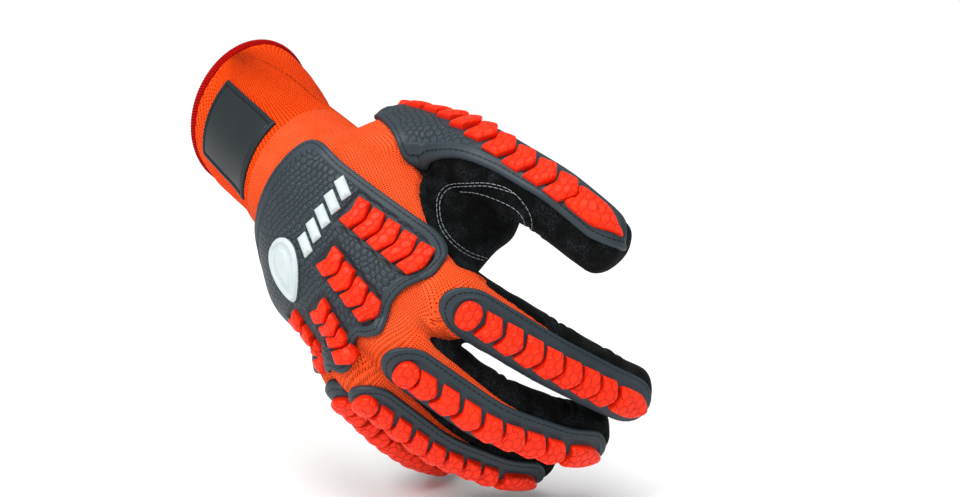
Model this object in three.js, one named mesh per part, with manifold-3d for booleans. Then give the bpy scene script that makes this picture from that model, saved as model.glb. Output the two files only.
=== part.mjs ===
// A right-hand impact glove for heavy work, shaped as it is when a half-closed hand fills it.
// Millimetres, +Z up. The hand's own frame has its origin at the middle of the wrist:
// x runs towards the little finger, y towards the fingertips and z out of the back of the hand.
// The exported group turns that frame to the attitude in which the glove is shown.

import * as THREE from "three";
import { mergeVertices } from "three/addons/utils/BufferGeometryUtils.js";
import { ConvexGeometry } from "three/addons/geometries/ConvexGeometry.js";
import Module from "manifold-3d";

const wasm = await Module();
wasm.setup();

// Walls and clearances
const clothWall = 1.8; // knitted back, cuff and suede palm
const seamGap = 0.3; // between two pieces that are sewn together
const guardGap = 0.5; // between the cloth and a guard
const guardThickness = 1.9; // grey rubber plates
const padGap = 0.3; // between a guard and the pads' backing
const padBacking = 0.7; // film of coloured rubber that joins the pads of a row
const padHeight = 2.8; // pads above their backing
const hemWidth = 4.2; // overlocked edge of the cuff
const hemRise = 1.3; // the edge stands proud of the cuff
const labelThickness = 1.3;
const emblemHeight = 1.6; // white relief on the back guard

// Widths across a finger
const guardShare = 0.82; // of the digit's girth
const padWidth = 13;
const backingWidth = 14.4;
const padRake = 3; // how far the sides of a chevron lie behind its tip

// Facets round each tube
const trunkSides = 22;
const fingerSides = 12;
const liningSides = { trunk: 14, finger: 7 };
const fingerSteps = 7;

// The attitude in which the glove is shown, in degrees: turned about X, then Y, then Z
const attitude = { x: -64.3, y: 41.6, z: 167 };

// Cuff: it leaves the wrist on its own line, because the hand is bent back and aside
const cuffLength = 71; // wrist to hem
const cuffBendBack = 21.7;
const cuffBendAside = 15.9;
const hemHalfWidth = 36;
const hemHalfThickness = 27.5;
const wristHalfWidth = 30.5;
const wristHalfThickness = 23;
const cuffTwist = -26; // of the oval section at the hem, in degrees
const hemShare = 1 - hemWidth / cuffLength;

const radians = THREE.MathUtils.degToRad;
const smooth = (low, high, value) => THREE.MathUtils.smoothstep(value, low, high);

// Hand sizes: the tables below hold shares of them, x of the width, y of the length and z of the depth
const handWidth = 84; // across the palm, gloved
const handLength = 88; // wrist to knuckles
const handDepth = 44; // back of the hand to palm

// The trunk from hem to knuckles, one row for each section. The cuff's rows hold a share of its length from
// the wrist, and how much of the swell from wrist to hem is reached there. The hand's sections stand across
// y at their own centres; drop is how far a section's sides hang below its middle, which cups the hand.
const cuffSections = [
  { share: 1.0, swell: 1.0 },
  { share: 0.94, swell: 0.97 },
  { share: 0.7, swell: 0.82 },
  { share: 0.45, swell: 0.45 },
  { share: 0.2, swell: 0.1 },
];
const palmSections = [
  {
    x: -0.024, y: 0.045, z: 0, halfWidth: 0.399, halfThickness: 0.545,
    dropIn: 0, dropOut: 0, yaw: 0, pitch: 8, twist: -14, square: 2.1,
  },
  {
    x: -0.06, y: 0.25, z: 0, halfWidth: 0.494, halfThickness: 0.523,
    dropIn: 0.068, dropOut: 0.045, yaw: 0, pitch: 0, twist: -6, square: 2.2,
  },
  {
    x: -0.036, y: 0.477, z: 0, halfWidth: 0.524, halfThickness: 0.5,
    dropIn: 0.091, dropOut: 0.136, yaw: -2, pitch: 0, twist: 0, square: 2.3,
  },
  {
    x: -0.036, y: 0.705, z: 0, halfWidth: 0.482, halfThickness: 0.466,
    dropIn: 0.091, dropOut: 0.227, yaw: -4, pitch: 4, twist: 0, square: 2.4,
  },
  {
    x: -0.042, y: 0.898, z: 0, halfWidth: 0.458, halfThickness: 0.398,
    dropIn: 0.114, dropOut: 0.318, yaw: -7, pitch: 12, twist: 0, square: 2.4,
  },
  {
    x: -0.042, y: 1.045, z: -0.068, halfWidth: 0.423, halfThickness: 0.318,
    dropIn: 0.114, dropOut: 0.295, yaw: -8, pitch: 30, twist: 0, square: 2.3,
  },
  {
    x: -0.012, y: 1.148, z: -0.205, halfWidth: 0.393, halfThickness: 0.182,
    dropIn: 0.091, dropOut: 0.205, yaw: -8, pitch: 40, twist: 0, square: 2.2,
  },
];

// Fingers: knuckle centre, bone lengths, bends at the three joints, how far the finger leans to the
// little-finger side and rolls to it, and its radius at the knuckle and near the tip
const fingers = {
  index: {
    knuckle: [-0.357, 0.989, -0.011], bones: [46, 27, 26], bends: [40.8, 14.5, 6.8],
    lean: -16.9, roll: 1.1, girth: 26.8,
  },
  middle: {
    knuckle: [-0.012, 1.002, 0.107], bones: [50, 31, 27], bends: [38.9, 23.6, 16],
    lean: -2.9, roll: 13.8, girth: 26.8,
  },
  ring: {
    knuckle: [0.226, 0.975, 0.023], bones: [46, 29, 27], bends: [42.4, 16.7, 14.8],
    lean: 14.3, roll: 21.4, girth: 25.8,
  },
  little: {
    knuckle: [0.36, 0.886, -0.198], bones: [37, 22, 28], bends: [56.7, 8.8, 13.8],
    lean: 30.6, roll: 5.5, girth: 24,
  },
};
const jointSpread = [12, 9, 7]; // half the length over which each joint's bend is spread
const fingerRoot = 16; // how far a finger starts inside the hand
const thumbRoot = 9;
const tipRise = 3; // rounded end past the last bone

// Thumb: its root, the way it points (aside from y, and up from the palm's plane), its roll and bones
const thumb = {
  root: [-0.531, 0.122, -0.243], aside: 32.7, rise: 4.9, roll: 41.1, bones: [46, 36, 32], bends: [0, 13.6, 13],
  girth: 27.6,
};

// Web between thumb and hand: sections across x
const webSections = [
  { x: -0.905, y: 0.636, z: -0.273, halfLength: 0.125, halfThickness: 0.159 },
  { x: -0.81, y: 0.602, z: -0.364, halfLength: 0.227, halfThickness: 0.295 },
  { x: -0.69, y: 0.557, z: -0.432, halfLength: 0.318, halfThickness: 0.386 },
  { x: -0.571, y: 0.523, z: -0.409, halfLength: 0.364, halfThickness: 0.409 },
  { x: -0.452, y: 0.523, z: -0.295, halfLength: 0.409, halfThickness: 0.409 },
  { x: -0.286, y: 0.545, z: -0.159, halfLength: 0.432, halfThickness: 0.364 },
];

// Rows of pads along the digits: where the first pad stands, the pitch, how many there are before the
// long last one, how much farther than one pitch that one stands, and half its length
const padRows = {
  index: { first: 9, pitch: 8.7, count: 8, farther: 4.6, lastHalf: 7.6 },
  middle: { first: 11.5, pitch: 9.4, count: 8, farther: 4.6, lastHalf: 7.6 },
  ring: { first: 12.8, pitch: 8.5, count: 8, farther: 4.6, lastHalf: 7.6 },
  little: { first: 9.4, pitch: 7.8, count: 8, farther: 1, lastHalf: 6.4 },
  thumb: { first: 4.5, pitch: 8.9, count: 10, farther: 1.8, lastHalf: 8.4 },
};
const guardBefore = 8.6; // the plate's rounded end before the first pad's middle
const guardPast = 4.4; // and past the last pad

// The thumb's plate is wider at its root: half-widths outwards and towards the hand
const thumbPlate = [
  { s: -16, outer: -1, inner: 7 },
  { s: -9, outer: 4, inner: 10 },
  { s: 0, outer: 9, inner: 12 },
  { s: 14, outer: 12, inner: 15.5 },
  { s: 26, outer: 11.8, inner: 18.5 },
  { s: 31, outer: 11.4, inner: 17 },
  { s: 37, outer: 11, inner: 11.5 },
  { s: 70, outer: 11, inner: 11 },
  { s: 98, outer: 10.4, inner: 10.4 },
  { s: 104.5, outer: 6.6, inner: 6.6 },
  { s: 107.5, outer: 2.4, inner: 2.4 },
];

// Outline of the plate on the back of the hand, seen along z, from the wrist round by the index finger
const backPlate = [
  { x: -0.25, y: 0.023 },
  { x: -0.298, y: 0.068 },
  { x: -0.369, y: 0.25 },
  { x: -0.452, y: 0.523 },
  { x: -0.506, y: 0.761 },
  { x: -0.488, y: 0.852 },
  { x: -0.405, y: 0.92 },
  { x: -0.31, y: 0.932 },
  { x: -0.226, y: 0.909 },
  { x: -0.155, y: 0.943 },
  { x: -0.095, y: 1 },
  { x: -0.012, y: 1.011 },
  { x: 0.071, y: 0.966 },
  { x: 0.131, y: 0.972 },
  { x: 0.179, y: 1.017 },
  { x: 0.238, y: 1.034 },
  { x: 0.298, y: 1 },
  { x: 0.345, y: 0.915 },
  { x: 0.429, y: 0.892 },
  { x: 0.524, y: 0.841 },
  { x: 0.643, y: 0.716 },
  { x: 0.667, y: 0.511 },
  { x: 0.595, y: 0.318 },
  { x: 0.429, y: 0.182 },
  { x: 0.238, y: 0.108 },
];
const backPlateLowest = -0.27;

// Rows of pads on that plate: the first and last pad's middle, and how far the row leans outwards
const backRows = {
  index: { from: [-0.256, 0.517], to: [-0.363, 0.841], count: 5, lean: -12 },
  middle: { from: [-0.006, 0.608], to: [-0.036, 0.915], count: 4, lean: 0 },
  ring: { from: [0.219, 0.733], to: [0.217, 0.972], count: 4, lean: 18 },
  little: { from: [0.363, 0.591], to: [0.387, 0.824], count: 4, lean: 36 },
};

// White relief on the plate: a plain rounded shape and a rising row of bars
const emblemBlob = { at: [0.22, 0.46], halfLength: 14.5, halfWidth: 8.4, turn: 21 };
const emblemBars = {
  from: [0.042, 0.456], to: [-0.268, 0.356], count: 5, halfLength: 4.4, halfWidth: 2.2, slant: 10,
};

// Where the suede begins: heights of the seam at the thumb's side and at the little finger's side
const palmSeam = [
  { y: 0.08, inner: -0.068, middle: -0.068, outer: -0.091 },
  { y: 0.477, inner: -0.045, middle: -0.068, outer: -0.182 },
  { y: 0.886, inner: -0.045, middle: -0.136, outer: -0.386 },
  { y: 1.045, inner: -0.114, middle: -0.295, outer: -0.773 },
  { y: 1.193, inner: -0.318, middle: -0.5, outer: -1.409 },
];
const palmSeamColumns = { inner: -0.24, middle: 0.24, outer: 0.48 };
const crotchPatch = [
  { x: -0.786, y: 0.648 },
  { x: -0.679, y: 0.511 },
  { x: -0.595, y: 0.443 },
  { x: -0.536, y: 0.5 },
  { x: -0.488, y: 0.659 },
  { x: -0.476, y: 0.807 },
  { x: -0.512, y: 0.977 },
  { x: -0.714, y: 1.091 },
  { x: -0.976, y: 0.955 },
];
const crotchTop = 0.3;

// The suede wraps the sides and front of each digit: angle of its seam from the middle of the back
const digitSeam = [
  { share: 0.1, angle: 68 },
  { share: 0.45, angle: 60 },
  { share: 0.75, angle: 52 },
  { share: 0.97, angle: 46 },
];
const suedeTip = 13; // all suede over the last part of each digit

const prismHigh = 1.6 * handDepth; // prisms over the hand end this high

// A point from shares of the hand's width, length and depth
const inHand = ([x, y, z = 0]) => new THREE.Vector3(x * handWidth, y * handLength, z * handDepth);

// A solid from a closed geometry, and a geometry from a solid
function solidOf(geometry) {
  const bare = new THREE.BufferGeometry();
  bare.setAttribute("position", geometry.getAttribute("position"));
  bare.setIndex(geometry.getIndex());
  const merged = mergeVertices(bare, 1e-4);
  return new wasm.Manifold(
    new wasm.Mesh({
      numProp: 3,
      vertProperties: new Float32Array(merged.getAttribute("position").array),
      triVerts: new Uint32Array(merged.getIndex().array),
    }),
  );
}

function geometryOf(solid) {
  const mesh = solid.getMesh();
  const geometry = new THREE.BufferGeometry();
  geometry.setAttribute("position", new THREE.BufferAttribute(mesh.vertProperties, 3));
  geometry.setIndex(new THREE.BufferAttribute(mesh.triVerts, 1));
  const faceted = geometry.toNonIndexed();
  faceted.computeVertexNormals();
  return faceted;
}

// A closed solid through rings that all have the same number of points
function loft(rings) {
  const sides = rings[0].length;
  const positions = [];
  const index = [];
  for (const ring of rings) for (const p of ring) positions.push(p.x, p.y, p.z);
  for (let r = 0; r + 1 < rings.length; r++) {
    for (let k = 0; k < sides; k++) {
      const a = r * sides + k;
      const b = r * sides + ((k + 1) % sides);
      index.push(a, b, b + sides, a, b + sides, a + sides);
    }
  }
  for (const end of [0, rings.length - 1]) {
    const middle = rings[end].reduce((sum, p) => sum.add(p), new THREE.Vector3()).divideScalar(sides);
    const hub = positions.length / 3;
    positions.push(middle.x, middle.y, middle.z);
    for (let k = 0; k < sides; k++) {
      const a = end * sides + k;
      const b = end * sides + ((k + 1) % sides);
      if (end === 0) index.push(hub, b, a);
      else index.push(hub, a, b);
    }
  }
  const geometry = new THREE.BufferGeometry();
  geometry.setAttribute("position", new THREE.BufferAttribute(new Float32Array(positions), 3));
  geometry.setIndex(index);
  const solid = solidOf(geometry);
  return solid.volume() < 0 ? solidOf(flipped(geometry)) : solid;
}

function flipped(geometry) {
  const index = [...geometry.getIndex().array];
  for (let i = 0; i < index.length; i += 3) [index[i + 1], index[i + 2]] = [index[i + 2], index[i + 1]];
  const turned = geometry.clone();
  turned.setIndex(index);
  return turned;
}

const join = (solids) => solids.reduce((sum, solid) => sum.add(solid));

// Frames along the trunk: a centre, a side direction, an up direction and the section's sizes
const cuffLine = new THREE.Vector3(
  Math.sin(radians(cuffBendAside)),
  -Math.cos(radians(cuffBendAside)) * Math.cos(radians(cuffBendBack)),
  -Math.cos(radians(cuffBendAside)) * Math.sin(radians(cuffBendBack)),
);

function frameAcross(forward, twist) {
  const side = new THREE.Vector3(1, 0, 0).addScaledVector(forward, -forward.x).normalize();
  const up = new THREE.Vector3().crossVectors(side, forward).normalize();
  return {
    side: side.clone().multiplyScalar(Math.cos(twist)).addScaledVector(up, Math.sin(twist)),
    up: up.clone().multiplyScalar(Math.cos(twist)).addScaledVector(side, -Math.sin(twist)),
  };
}

function cuffFrame(share) {
  const upper = cuffSections.findIndex((row, k) => k > 0 && row.share <= share);
  const k = upper < 0 ? cuffSections.length - 1 : upper;
  const [high, low] = [cuffSections[k - 1], cuffSections[k]];
  const swell = THREE.MathUtils.mapLinear(share, low.share, high.share, low.swell, high.swell);
  return {
    centre: cuffLine.clone().multiplyScalar(cuffLength * share),
    ...frameAcross(cuffLine.clone().negate(), radians(cuffTwist * THREE.MathUtils.lerp(0.6, 1, share))),
    halfWidth: THREE.MathUtils.lerp(wristHalfWidth, hemHalfWidth, swell),
    halfThickness: THREE.MathUtils.lerp(wristHalfThickness, hemHalfThickness, swell),
    dropIn: 0,
    dropOut: 0,
    square: 2,
  };
}

function palmFrame(row) {
  const ahead = new THREE.Vector3(0, 1, 0)
    .applyAxisAngle(new THREE.Vector3(1, 0, 0), radians(-row.pitch))
    .applyAxisAngle(new THREE.Vector3(0, 0, 1), radians(row.yaw));
  return {
    centre: inHand([row.x, row.y, row.z]),
    ahead,
    ...frameAcross(ahead, radians(row.twist)),
    halfWidth: row.halfWidth * handWidth,
    halfThickness: row.halfThickness * handDepth,
    dropIn: row.dropIn * handDepth,
    dropOut: row.dropOut * handDepth,
    square: row.square,
  };
}

function trunkRing(frame, offset, sides) {
  const ring = [];
  for (let k = 0; k < sides; k++) {
    const angle = (2 * Math.PI * k) / sides;
    const cos = Math.cos(angle);
    const sin = Math.sin(angle);
    const x = (frame.halfWidth + offset) * Math.sign(cos) * Math.abs(cos) ** (2 / frame.square);
    const z = (frame.halfThickness + offset) * Math.sign(sin) * Math.abs(sin) ** (2 / frame.square);
    const sag = (x < 0 ? frame.dropIn : frame.dropOut) * (x / frame.halfWidth) ** 2;
    ring.push(frame.centre.clone().addScaledVector(frame.side, x).addScaledVector(frame.up, z - sag));
  }
  return ring;
}

// The trunk ends where the hem begins; the lining runs on past it, which leaves the cuff open
function trunk(offset, sides, endShare) {
  const shares = [endShare, ...cuffSections.map((row) => row.share).filter((share) => share < endShare - 0.01)];
  const frames = [...shares.map(cuffFrame), ...palmSections.map(palmFrame)];
  const front = frames[frames.length - 1];
  front.centre.addScaledVector(front.ahead, offset);
  return loft(frames.map((frame) => trunkRing(frame, offset, sides)));
}

// A finger's centre line: its bends are spread smoothly over each joint
function fingerLine(start, turn, bones, bends, from, to) {
  const joints = [0, bones[0], bones[0] + bones[1]];
  const share = (k, s) => smooth(joints[k] - jointSpread[k], joints[k] + jointSpread[k], s);
  const bendAt = (s) => joints.reduce((sum, joint, k) => sum + radians(bends[k]) * share(k, s), 0);
  const step = 0.5;
  const pointAt = (s) => {
    const p = new THREE.Vector3();
    const steps = Math.max(1, Math.round(Math.abs(s) / step));
    for (let k = 0; k < steps; k++) {
      const angle = bendAt((s * (k + 0.5)) / steps);
      p.y += (Math.cos(angle) * s) / steps;
      p.z -= (Math.sin(angle) * s) / steps;
    }
    return p;
  };
  return {
    from,
    to,
    at(s) {
      const angle = bendAt(s);
      return {
        centre: pointAt(s).applyMatrix3(turn).add(start),
        ahead: new THREE.Vector3(0, Math.cos(angle), -Math.sin(angle)).applyMatrix3(turn),
        up: new THREE.Vector3(0, Math.sin(angle), Math.cos(angle)).applyMatrix3(turn),
        side: new THREE.Vector3(1, 0, 0).applyMatrix3(turn),
      };
    },
  };
}

function matrix3(side, ahead, up) {
  return new THREE.Matrix3().set(side.x, ahead.x, up.x, side.y, ahead.y, up.y, side.z, ahead.z, up.z);
}

// Radius from a digit's girth and the taper of its kind: at the root, the knuckle, the next joint and the end
const fingerTaper = [0.67, 1, 0.955, 0.88];
const thumbTaper = [0.6, 0.8, 1, 0.9];
const radiiOf = (row) => (row === thumb ? thumbTaper : fingerTaper).map((share) => (share * row.girth) / 2);
function radiusAlong(row, root, length, s) {
  const [atRoot, atKnuckle, atJoint, atEnd] = radiiOf(row);
  const joint = row.bones[0];
  if (s < 0) return THREE.MathUtils.lerp(atRoot, atKnuckle, smooth(root, 0, s));
  if (s < joint) return THREE.MathUtils.lerp(atKnuckle, atJoint, s / joint);
  return THREE.MathUtils.lerp(atJoint, atEnd, (s - joint) / (length - joint));
}

function makeFinger(row) {
  const rollTurn = new THREE.Matrix4().makeRotationY(radians(row.roll));
  const leanTurn = new THREE.Matrix4().makeRotationZ(radians(-row.lean));
  const turn = new THREE.Matrix3().setFromMatrix4(rollTurn.multiply(leanTurn));
  const length = row.bones.reduce((a, b) => a + b);
  const line = fingerLine(inHand(row.knuckle), turn, row.bones, row.bends, -fingerRoot, length + tipRise);
  return { ...line, length, row, radiusAt: (s) => radiusAlong(row, -fingerRoot, length, s) };
}

function makeThumb() {
  const aside = radians(thumb.aside);
  const rise = radians(thumb.rise);
  const ahead = new THREE.Vector3(-Math.sin(aside), Math.cos(aside), Math.tan(rise)).normalize();
  const up = new THREE.Vector3(0, 0, 1).addScaledVector(ahead, -ahead.z).normalize();
  const side = new THREE.Vector3().crossVectors(ahead, up);
  const roll = radians(thumb.roll);
  const rolledUp = up.clone().multiplyScalar(Math.cos(roll)).addScaledVector(side, -Math.sin(roll));
  const turn = matrix3(new THREE.Vector3().crossVectors(ahead, rolledUp), ahead, rolledUp);
  const length = thumb.bones.reduce((a, b) => a + b);
  const line = fingerLine(inHand(thumb.root), turn, thumb.bones, thumb.bends, -thumbRoot, length + tipRise);
  return { ...line, length, row: thumb, radiusAt: (s) => radiusAlong(thumb, -thumbRoot, length, s) };
}

const digits = Object.fromEntries(Object.entries(fingers).map(([name, row]) => [name, makeFinger(row)]));
digits.thumb = makeThumb();

// Rings along a digit, growing out of the hand and closing in a rounded tip
const tipRounding = [
  { back: 9, share: 1 },
  { back: 3.6, share: 0.86 },
  { back: 0, share: 0.45 },
];

function digitRing(digit, s, radius, sides) {
  const { centre, up, side } = digit.at(s);
  const ring = [];
  for (let k = 0; k < sides; k++) {
    const angle = (2 * Math.PI * (k + 0.5)) / sides;
    const out = side.clone().multiplyScalar(Math.cos(angle)).addScaledVector(up, Math.sin(angle));
    ring.push(out.multiplyScalar(radius).add(centre));
  }
  return ring;
}

const stationsOf = (digit) =>
  Array.from({ length: fingerSteps }, (_, k) =>
    THREE.MathUtils.lerp(digit.from, digit.to - tipRounding[0].back, k / fingerSteps),
  );

function digitSolid(digit, offset, sides) {
  const rings = stationsOf(digit).map((s, k) =>
    digitRing(digit, k === 0 ? s - offset : s, digit.radiusAt(s) + offset, sides),
  );
  for (const { back, share } of tipRounding) {
    const s = digit.to - back;
    const grown = offset * (1 - back / tipRounding[0].back);
    rings.push(digitRing(digit, s + grown, (digit.radiusAt(s) + offset) * share, sides));
  }
  return loft(rings);
}

function web(offset, sides) {
  return loft(
    webSections.map((row) => {
      const centre = inHand([row.x, row.y, row.z]);
      const ring = [];
      for (let k = 0; k < sides; k++) {
        const angle = (2 * Math.PI * k) / sides;
        const along = (row.halfLength * handLength + offset) * Math.cos(angle);
        const height = (row.halfThickness * handDepth + offset) * Math.sin(angle);
        ring.push(new THREE.Vector3(centre.x, centre.y + along, centre.z + height));
      }
      return ring;
    }),
  );
}

// Ball of the thumb: the smallest bulging skin round the thumb's root and the thumb's side of the wrist
const ballRings = [
  { s: -5, share: 0.66 },
  { s: 8, share: 0.81 },
  { s: 24, share: 0.9 },
];
function ballOfThumb(offset, sides) {
  const points = ballRings.flatMap(({ s, share }, k) =>
    digitRing(digits.thumb, k === 0 ? s - offset : s, (share * thumb.girth) / 2 + offset, sides),
  );
  for (const row of palmSections.slice(0, 2)) {
    const frame = palmFrame(row);
    points.push(...trunkRing(frame, offset - 0.8, sides + 4).filter((p) => p.x < frame.centre.x));
  }
  return solidOf(new ConvexGeometry(points));
}

function handForm(offset, sides = { trunk: trunkSides, finger: fingerSides }, endShare = hemShare) {
  return join([
    trunk(offset, sides.trunk, endShare),
    web(offset, sides.finger),
    ballOfThumb(offset, sides.finger),
    ...Object.values(digits).map((digit) => digitSolid(digit, offset, sides.finger)),
  ]);
}

// A prism: the same outline at two heights. place(a, b, height) puts its points
function prism(outline, low, high, place) {
  return loft([low, high].map((height) => outline.map(([a, b]) => place(a, b, height))));
}
const overHand = (a, b, height) => new THREE.Vector3(a, b, height);

// Suede: below the seam of the hand, in the crotch of the thumb, and round the sides of every digit
function handCutter(grow) {
  const reach = 1.1 * handWidth;
  const last = palmSeam.length - 1;
  // The first and last rows move out along the seam's own slope when the cutter grows
  const rows = palmSeam.map((row, k) => {
    const next = palmSeam[k === 0 ? 1 : k - 1];
    const moved = k === 0 ? -grow : k === last ? grow : 0;
    const height = (name) =>
      (row[name] + (((row[name] - next[name]) / (row.y - next.y)) * moved) / handLength) * handDepth + grow;
    return { y: row.y * handLength + moved, height };
  });
  return loft(
    rows.map(({ y, height }) => {
      const corner = (x, z) => new THREE.Vector3(x, y, z);
      const seam = Object.entries(palmSeamColumns).map(([name, x]) => corner(x * handWidth, height(name)));
      return [
        corner(-reach, height("inner")),
        ...seam,
        corner(reach, height("outer")),
        corner(reach, -2 * handDepth),
        corner(-reach, -2 * handDepth),
      ];
    }),
  );
}

function crotchCutter(grow) {
  const corners = crotchPatch.map(({ x, y }) => inHand([x, y]));
  const middle = corners.reduce((sum, p) => sum.addScaledVector(p, 1 / corners.length), new THREE.Vector3());
  const outline = corners.map((p) => {
    const away = p.clone().sub(middle);
    away.setLength(away.length() + grow);
    return [middle.x + away.x, middle.y + away.y];
  });
  return prism(outline, -1.6 * handDepth, crotchTop * handDepth + grow, overHand);
}

function digitCutter(digit, grow) {
  const reach = 2.6;
  const arcSteps = 8;
  const ringAt = (s, angle) => {
    const { centre, up, side } = digit.at(s);
    const radius = digit.radiusAt(s) + reach + grow;
    const seam = radians(angle) - grow / radius;
    const ring = [centre.clone()];
    for (let k = 0; k <= arcSteps; k++) {
      const turn = THREE.MathUtils.lerp(seam, 2 * Math.PI - seam, k / arcSteps);
      const out = side.clone().multiplyScalar(Math.sin(turn)).addScaledVector(up, Math.cos(turn));
      ring.push(out.multiplyScalar(radius).add(centre));
    }
    return ring;
  };
  const wrap = loft(
    digitSeam.map(({ share, angle }, k) => ringAt(digit.length * share - (k === 0 ? grow : 0), angle)),
  );
  const capRadius = digit.radiusAt(digit.length) + 6;
  const capAt = [digit.to - suedeTip - grow, digit.to - 4, digit.to + 6];
  const cap = loft(capAt.map((s) => digitRing(digit, s, capRadius, fingerSides)));
  return wrap.add(cap);
}

function suedeCutter(grow) {
  const wraps = Object.values(digits).map((digit) => digitCutter(digit, grow));
  return join([handCutter(grow), crotchCutter(grow), ...wraps]);
}

// Everything on the cuff's side of the wrist seam
function cuffCutter(from) {
  const { side, up } = frameAcross(cuffLine.clone().negate(), 0);
  const corner = (x, z, along) =>
    cuffLine.clone().multiplyScalar(along).addScaledVector(side, x).addScaledVector(up, z);
  const square = [
    [-90, -90],
    [90, -90],
    [90, 90],
    [-90, 90],
  ];
  return loft([from, 140].map((along) => square.map(([x, z]) => corner(x, z, along))));
}

const outside = handForm(0);
const wall = outside.subtract(handForm(-clothWall, liningSides, 1.05));
const wristSeam = 3; // from the wrist towards the hem

const leather = wall.intersect(suedeCutter(0));
const knit = wall.subtract(suedeCutter(seamGap));
const cuffKnit = knit.intersect(cuffCutter(wristSeam + seamGap));
const handKnit = knit.subtract(cuffCutter(wristSeam));

// Each digit's cloth is cut and sewn on its own, from a little past the place where it leaves the hand
const digitFrom = { finger: 0.355, thumb: 0.62 }; // shares of the digit's length
function digitZone(digit, grow) {
  const from = digit.length * (digit.row === thumb ? digitFrom.thumb : digitFrom.finger) - grow;
  const reach = 2 * seamGap + grow;
  const rings = stationsOf(digit).filter((s) => s > from + 1);
  const places = [from, ...rings, digit.to - tipRounding[0].back, digit.to + guardThickness];
  return loft(places.map((s) => digitRing(digit, s, digit.radiusAt(Math.min(s, digit.to)) + reach, fingerSides)));
}
// What lies on a neighbouring digit isn't part of it
function ownZone(digit, grow) {
  const others = Object.values(digits).filter((other) => other !== digit);
  return digitZone(digit, grow).subtract(join(others.map((other) => digitSolid(other, seamGap - grow, fingerSides))));
}
const inDigit = (cloth, digit) => cloth.intersect(ownZone(digit, 0));
const allDigits = join(Object.values(digits).map((digit) => ownZone(digit, seamGap)));
const palmLeather = leather.subtract(allDigits);
const backKnit = handKnit.subtract(allDigits);

// Hem: a rounded ring that closes the cuff's edge
function cuffHem() {
  const from = hemShare + seamGap / cuffLength;
  const rows = [
    { share: from, rise: hemRise * 0.5 },
    { share: THREE.MathUtils.lerp(from, 1, 0.5), rise: hemRise },
    { share: 1, rise: hemRise * 0.5 },
  ];
  const ring = loft(rows.map(({ share, rise }) => trunkRing(cuffFrame(share), rise, trunkSides)));
  const bore = loft([from - 0.05, 1.05].map((share) => trunkRing(cuffFrame(share), -clothWall, trunkSides)));
  return ring.subtract(bore);
}

// Label: a plain patch on the back of the cuff
const label = { from: 7, to: 53, halfWidth: 18.5, corner: 3, offCentre: -0.5 };
function cuffLabel() {
  const { side, up } = frameAcross(cuffLine.clone().negate(), radians(cuffTwist * 0.8));
  const { from, to, halfWidth, corner, offCentre } = label;
  const outline = [
    [from + corner, -halfWidth],
    [to - corner, -halfWidth],
    [to, corner - halfWidth],
    [to, halfWidth - corner],
    [to - corner, halfWidth],
    [from + corner, halfWidth],
    [from, halfWidth - corner],
    [from, corner - halfWidth],
  ];
  const place = (along, x, height) =>
    cuffLine.clone().multiplyScalar(along).addScaledVector(side, x + offCentre).addScaledVector(up, height);
  const patch = prism(outline, 0.1 * handDepth, prismHigh, place);
  const under = trunk(seamGap, trunkSides, hemShare);
  const skin = trunk(seamGap + labelThickness, trunkSides, hemShare).subtract(under);
  return patch.intersect(skin);
}

// Points above the hand: found by looking out from inside a digit, or down on the hand from above
const bothSides = new THREE.MeshStandardMaterial({ side: THREE.DoubleSide });
const meshOf = (solid) => new THREE.Mesh(geometryOf(solid), bothSides);
const outsideMesh = meshOf(outside);
const bareTrunk = trunk(0, trunkSides, hemShare);
for (const digit of Object.values(digits)) {
  digit.mesh = digit.row === thumb ? outsideMesh : meshOf(bareTrunk.add(digitSolid(digit, 0, fingerSides)));
}
const looker = new THREE.Raycaster();
const facetBend = Math.PI / fingerSides;

function onDigit(digit, s, across, height) {
  const radius = digit.radiusAt(THREE.MathUtils.clamp(s, 0, digit.length));
  const angle = across / (radius + height);
  const { centre, up, side } = digit.at(s);
  const out = side.multiplyScalar(Math.sin(angle)).addScaledVector(up, Math.cos(angle));
  looker.set(centre, out);
  const [leaving] = looker.intersectObject(digit.mesh);
  return leaving.point.addScaledVector(out, height);
}

function onHand(point, up, height) {
  looker.set(point.clone().addScaledVector(up, 2 * handDepth), up.clone().negate());
  const [landing] = looker.intersectObject(outsideMesh);
  return landing.point.addScaledVector(up, height / Math.max(0.5, landing.face.normal.dot(up)));
}

// A strip bent over a digit: rows give its half-width at each place. It bends where the digit's facets do
function strip(digit, rows, low, high) {
  const across = ({ s, half }, height) => {
    const bend = (digit.radiusAt(Math.max(s, 0)) + height) * facetBend;
    const inner = Math.min(bend, half * 0.3);
    const outer = Math.min(3 * bend, half * 0.9);
    return [-half, -outer, -inner, inner, outer, half];
  };
  return loft(
    rows.map((row) => [
      ...across(row, high).map((place) => onDigit(digit, row.s, place, high)),
      ...across(row, low).toReversed().map((place) => onDigit(digit, row.s, place, low)),
    ]),
  );
}

// Rows of a strip with rounded ends, with one wherever the digit has a ring
function stripRows(digit, from, to, half) {
  const rounding = [
    { along: 0, share: 0.34 },
    { along: 0.3, share: 0.76 },
    { along: 0.9, share: 1 },
  ];
  const ends = rounding.flatMap(({ along }) => [from + along * half, to - along * half]);
  const rings = [...stationsOf(digit), digit.to - tipRounding[0].back].filter(
    (s) => s > from && s < to && ends.every((end) => Math.abs(end - s) > 1.2),
  );
  const shareAt = (inward) => {
    const k = rounding.findIndex(({ along }) => along > inward);
    if (k < 0) return 1;
    const [below, above] = [rounding[k - 1], rounding[k]];
    return THREE.MathUtils.mapLinear(inward, below.along, above.along, below.share, above.share);
  };
  return [...ends, ...rings]
    .sort((a, b) => a - b)
    .map((s) => ({ s, half: half * shareAt(Math.max(0, Math.min(s - from, to - s) / half)) }));
}

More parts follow.
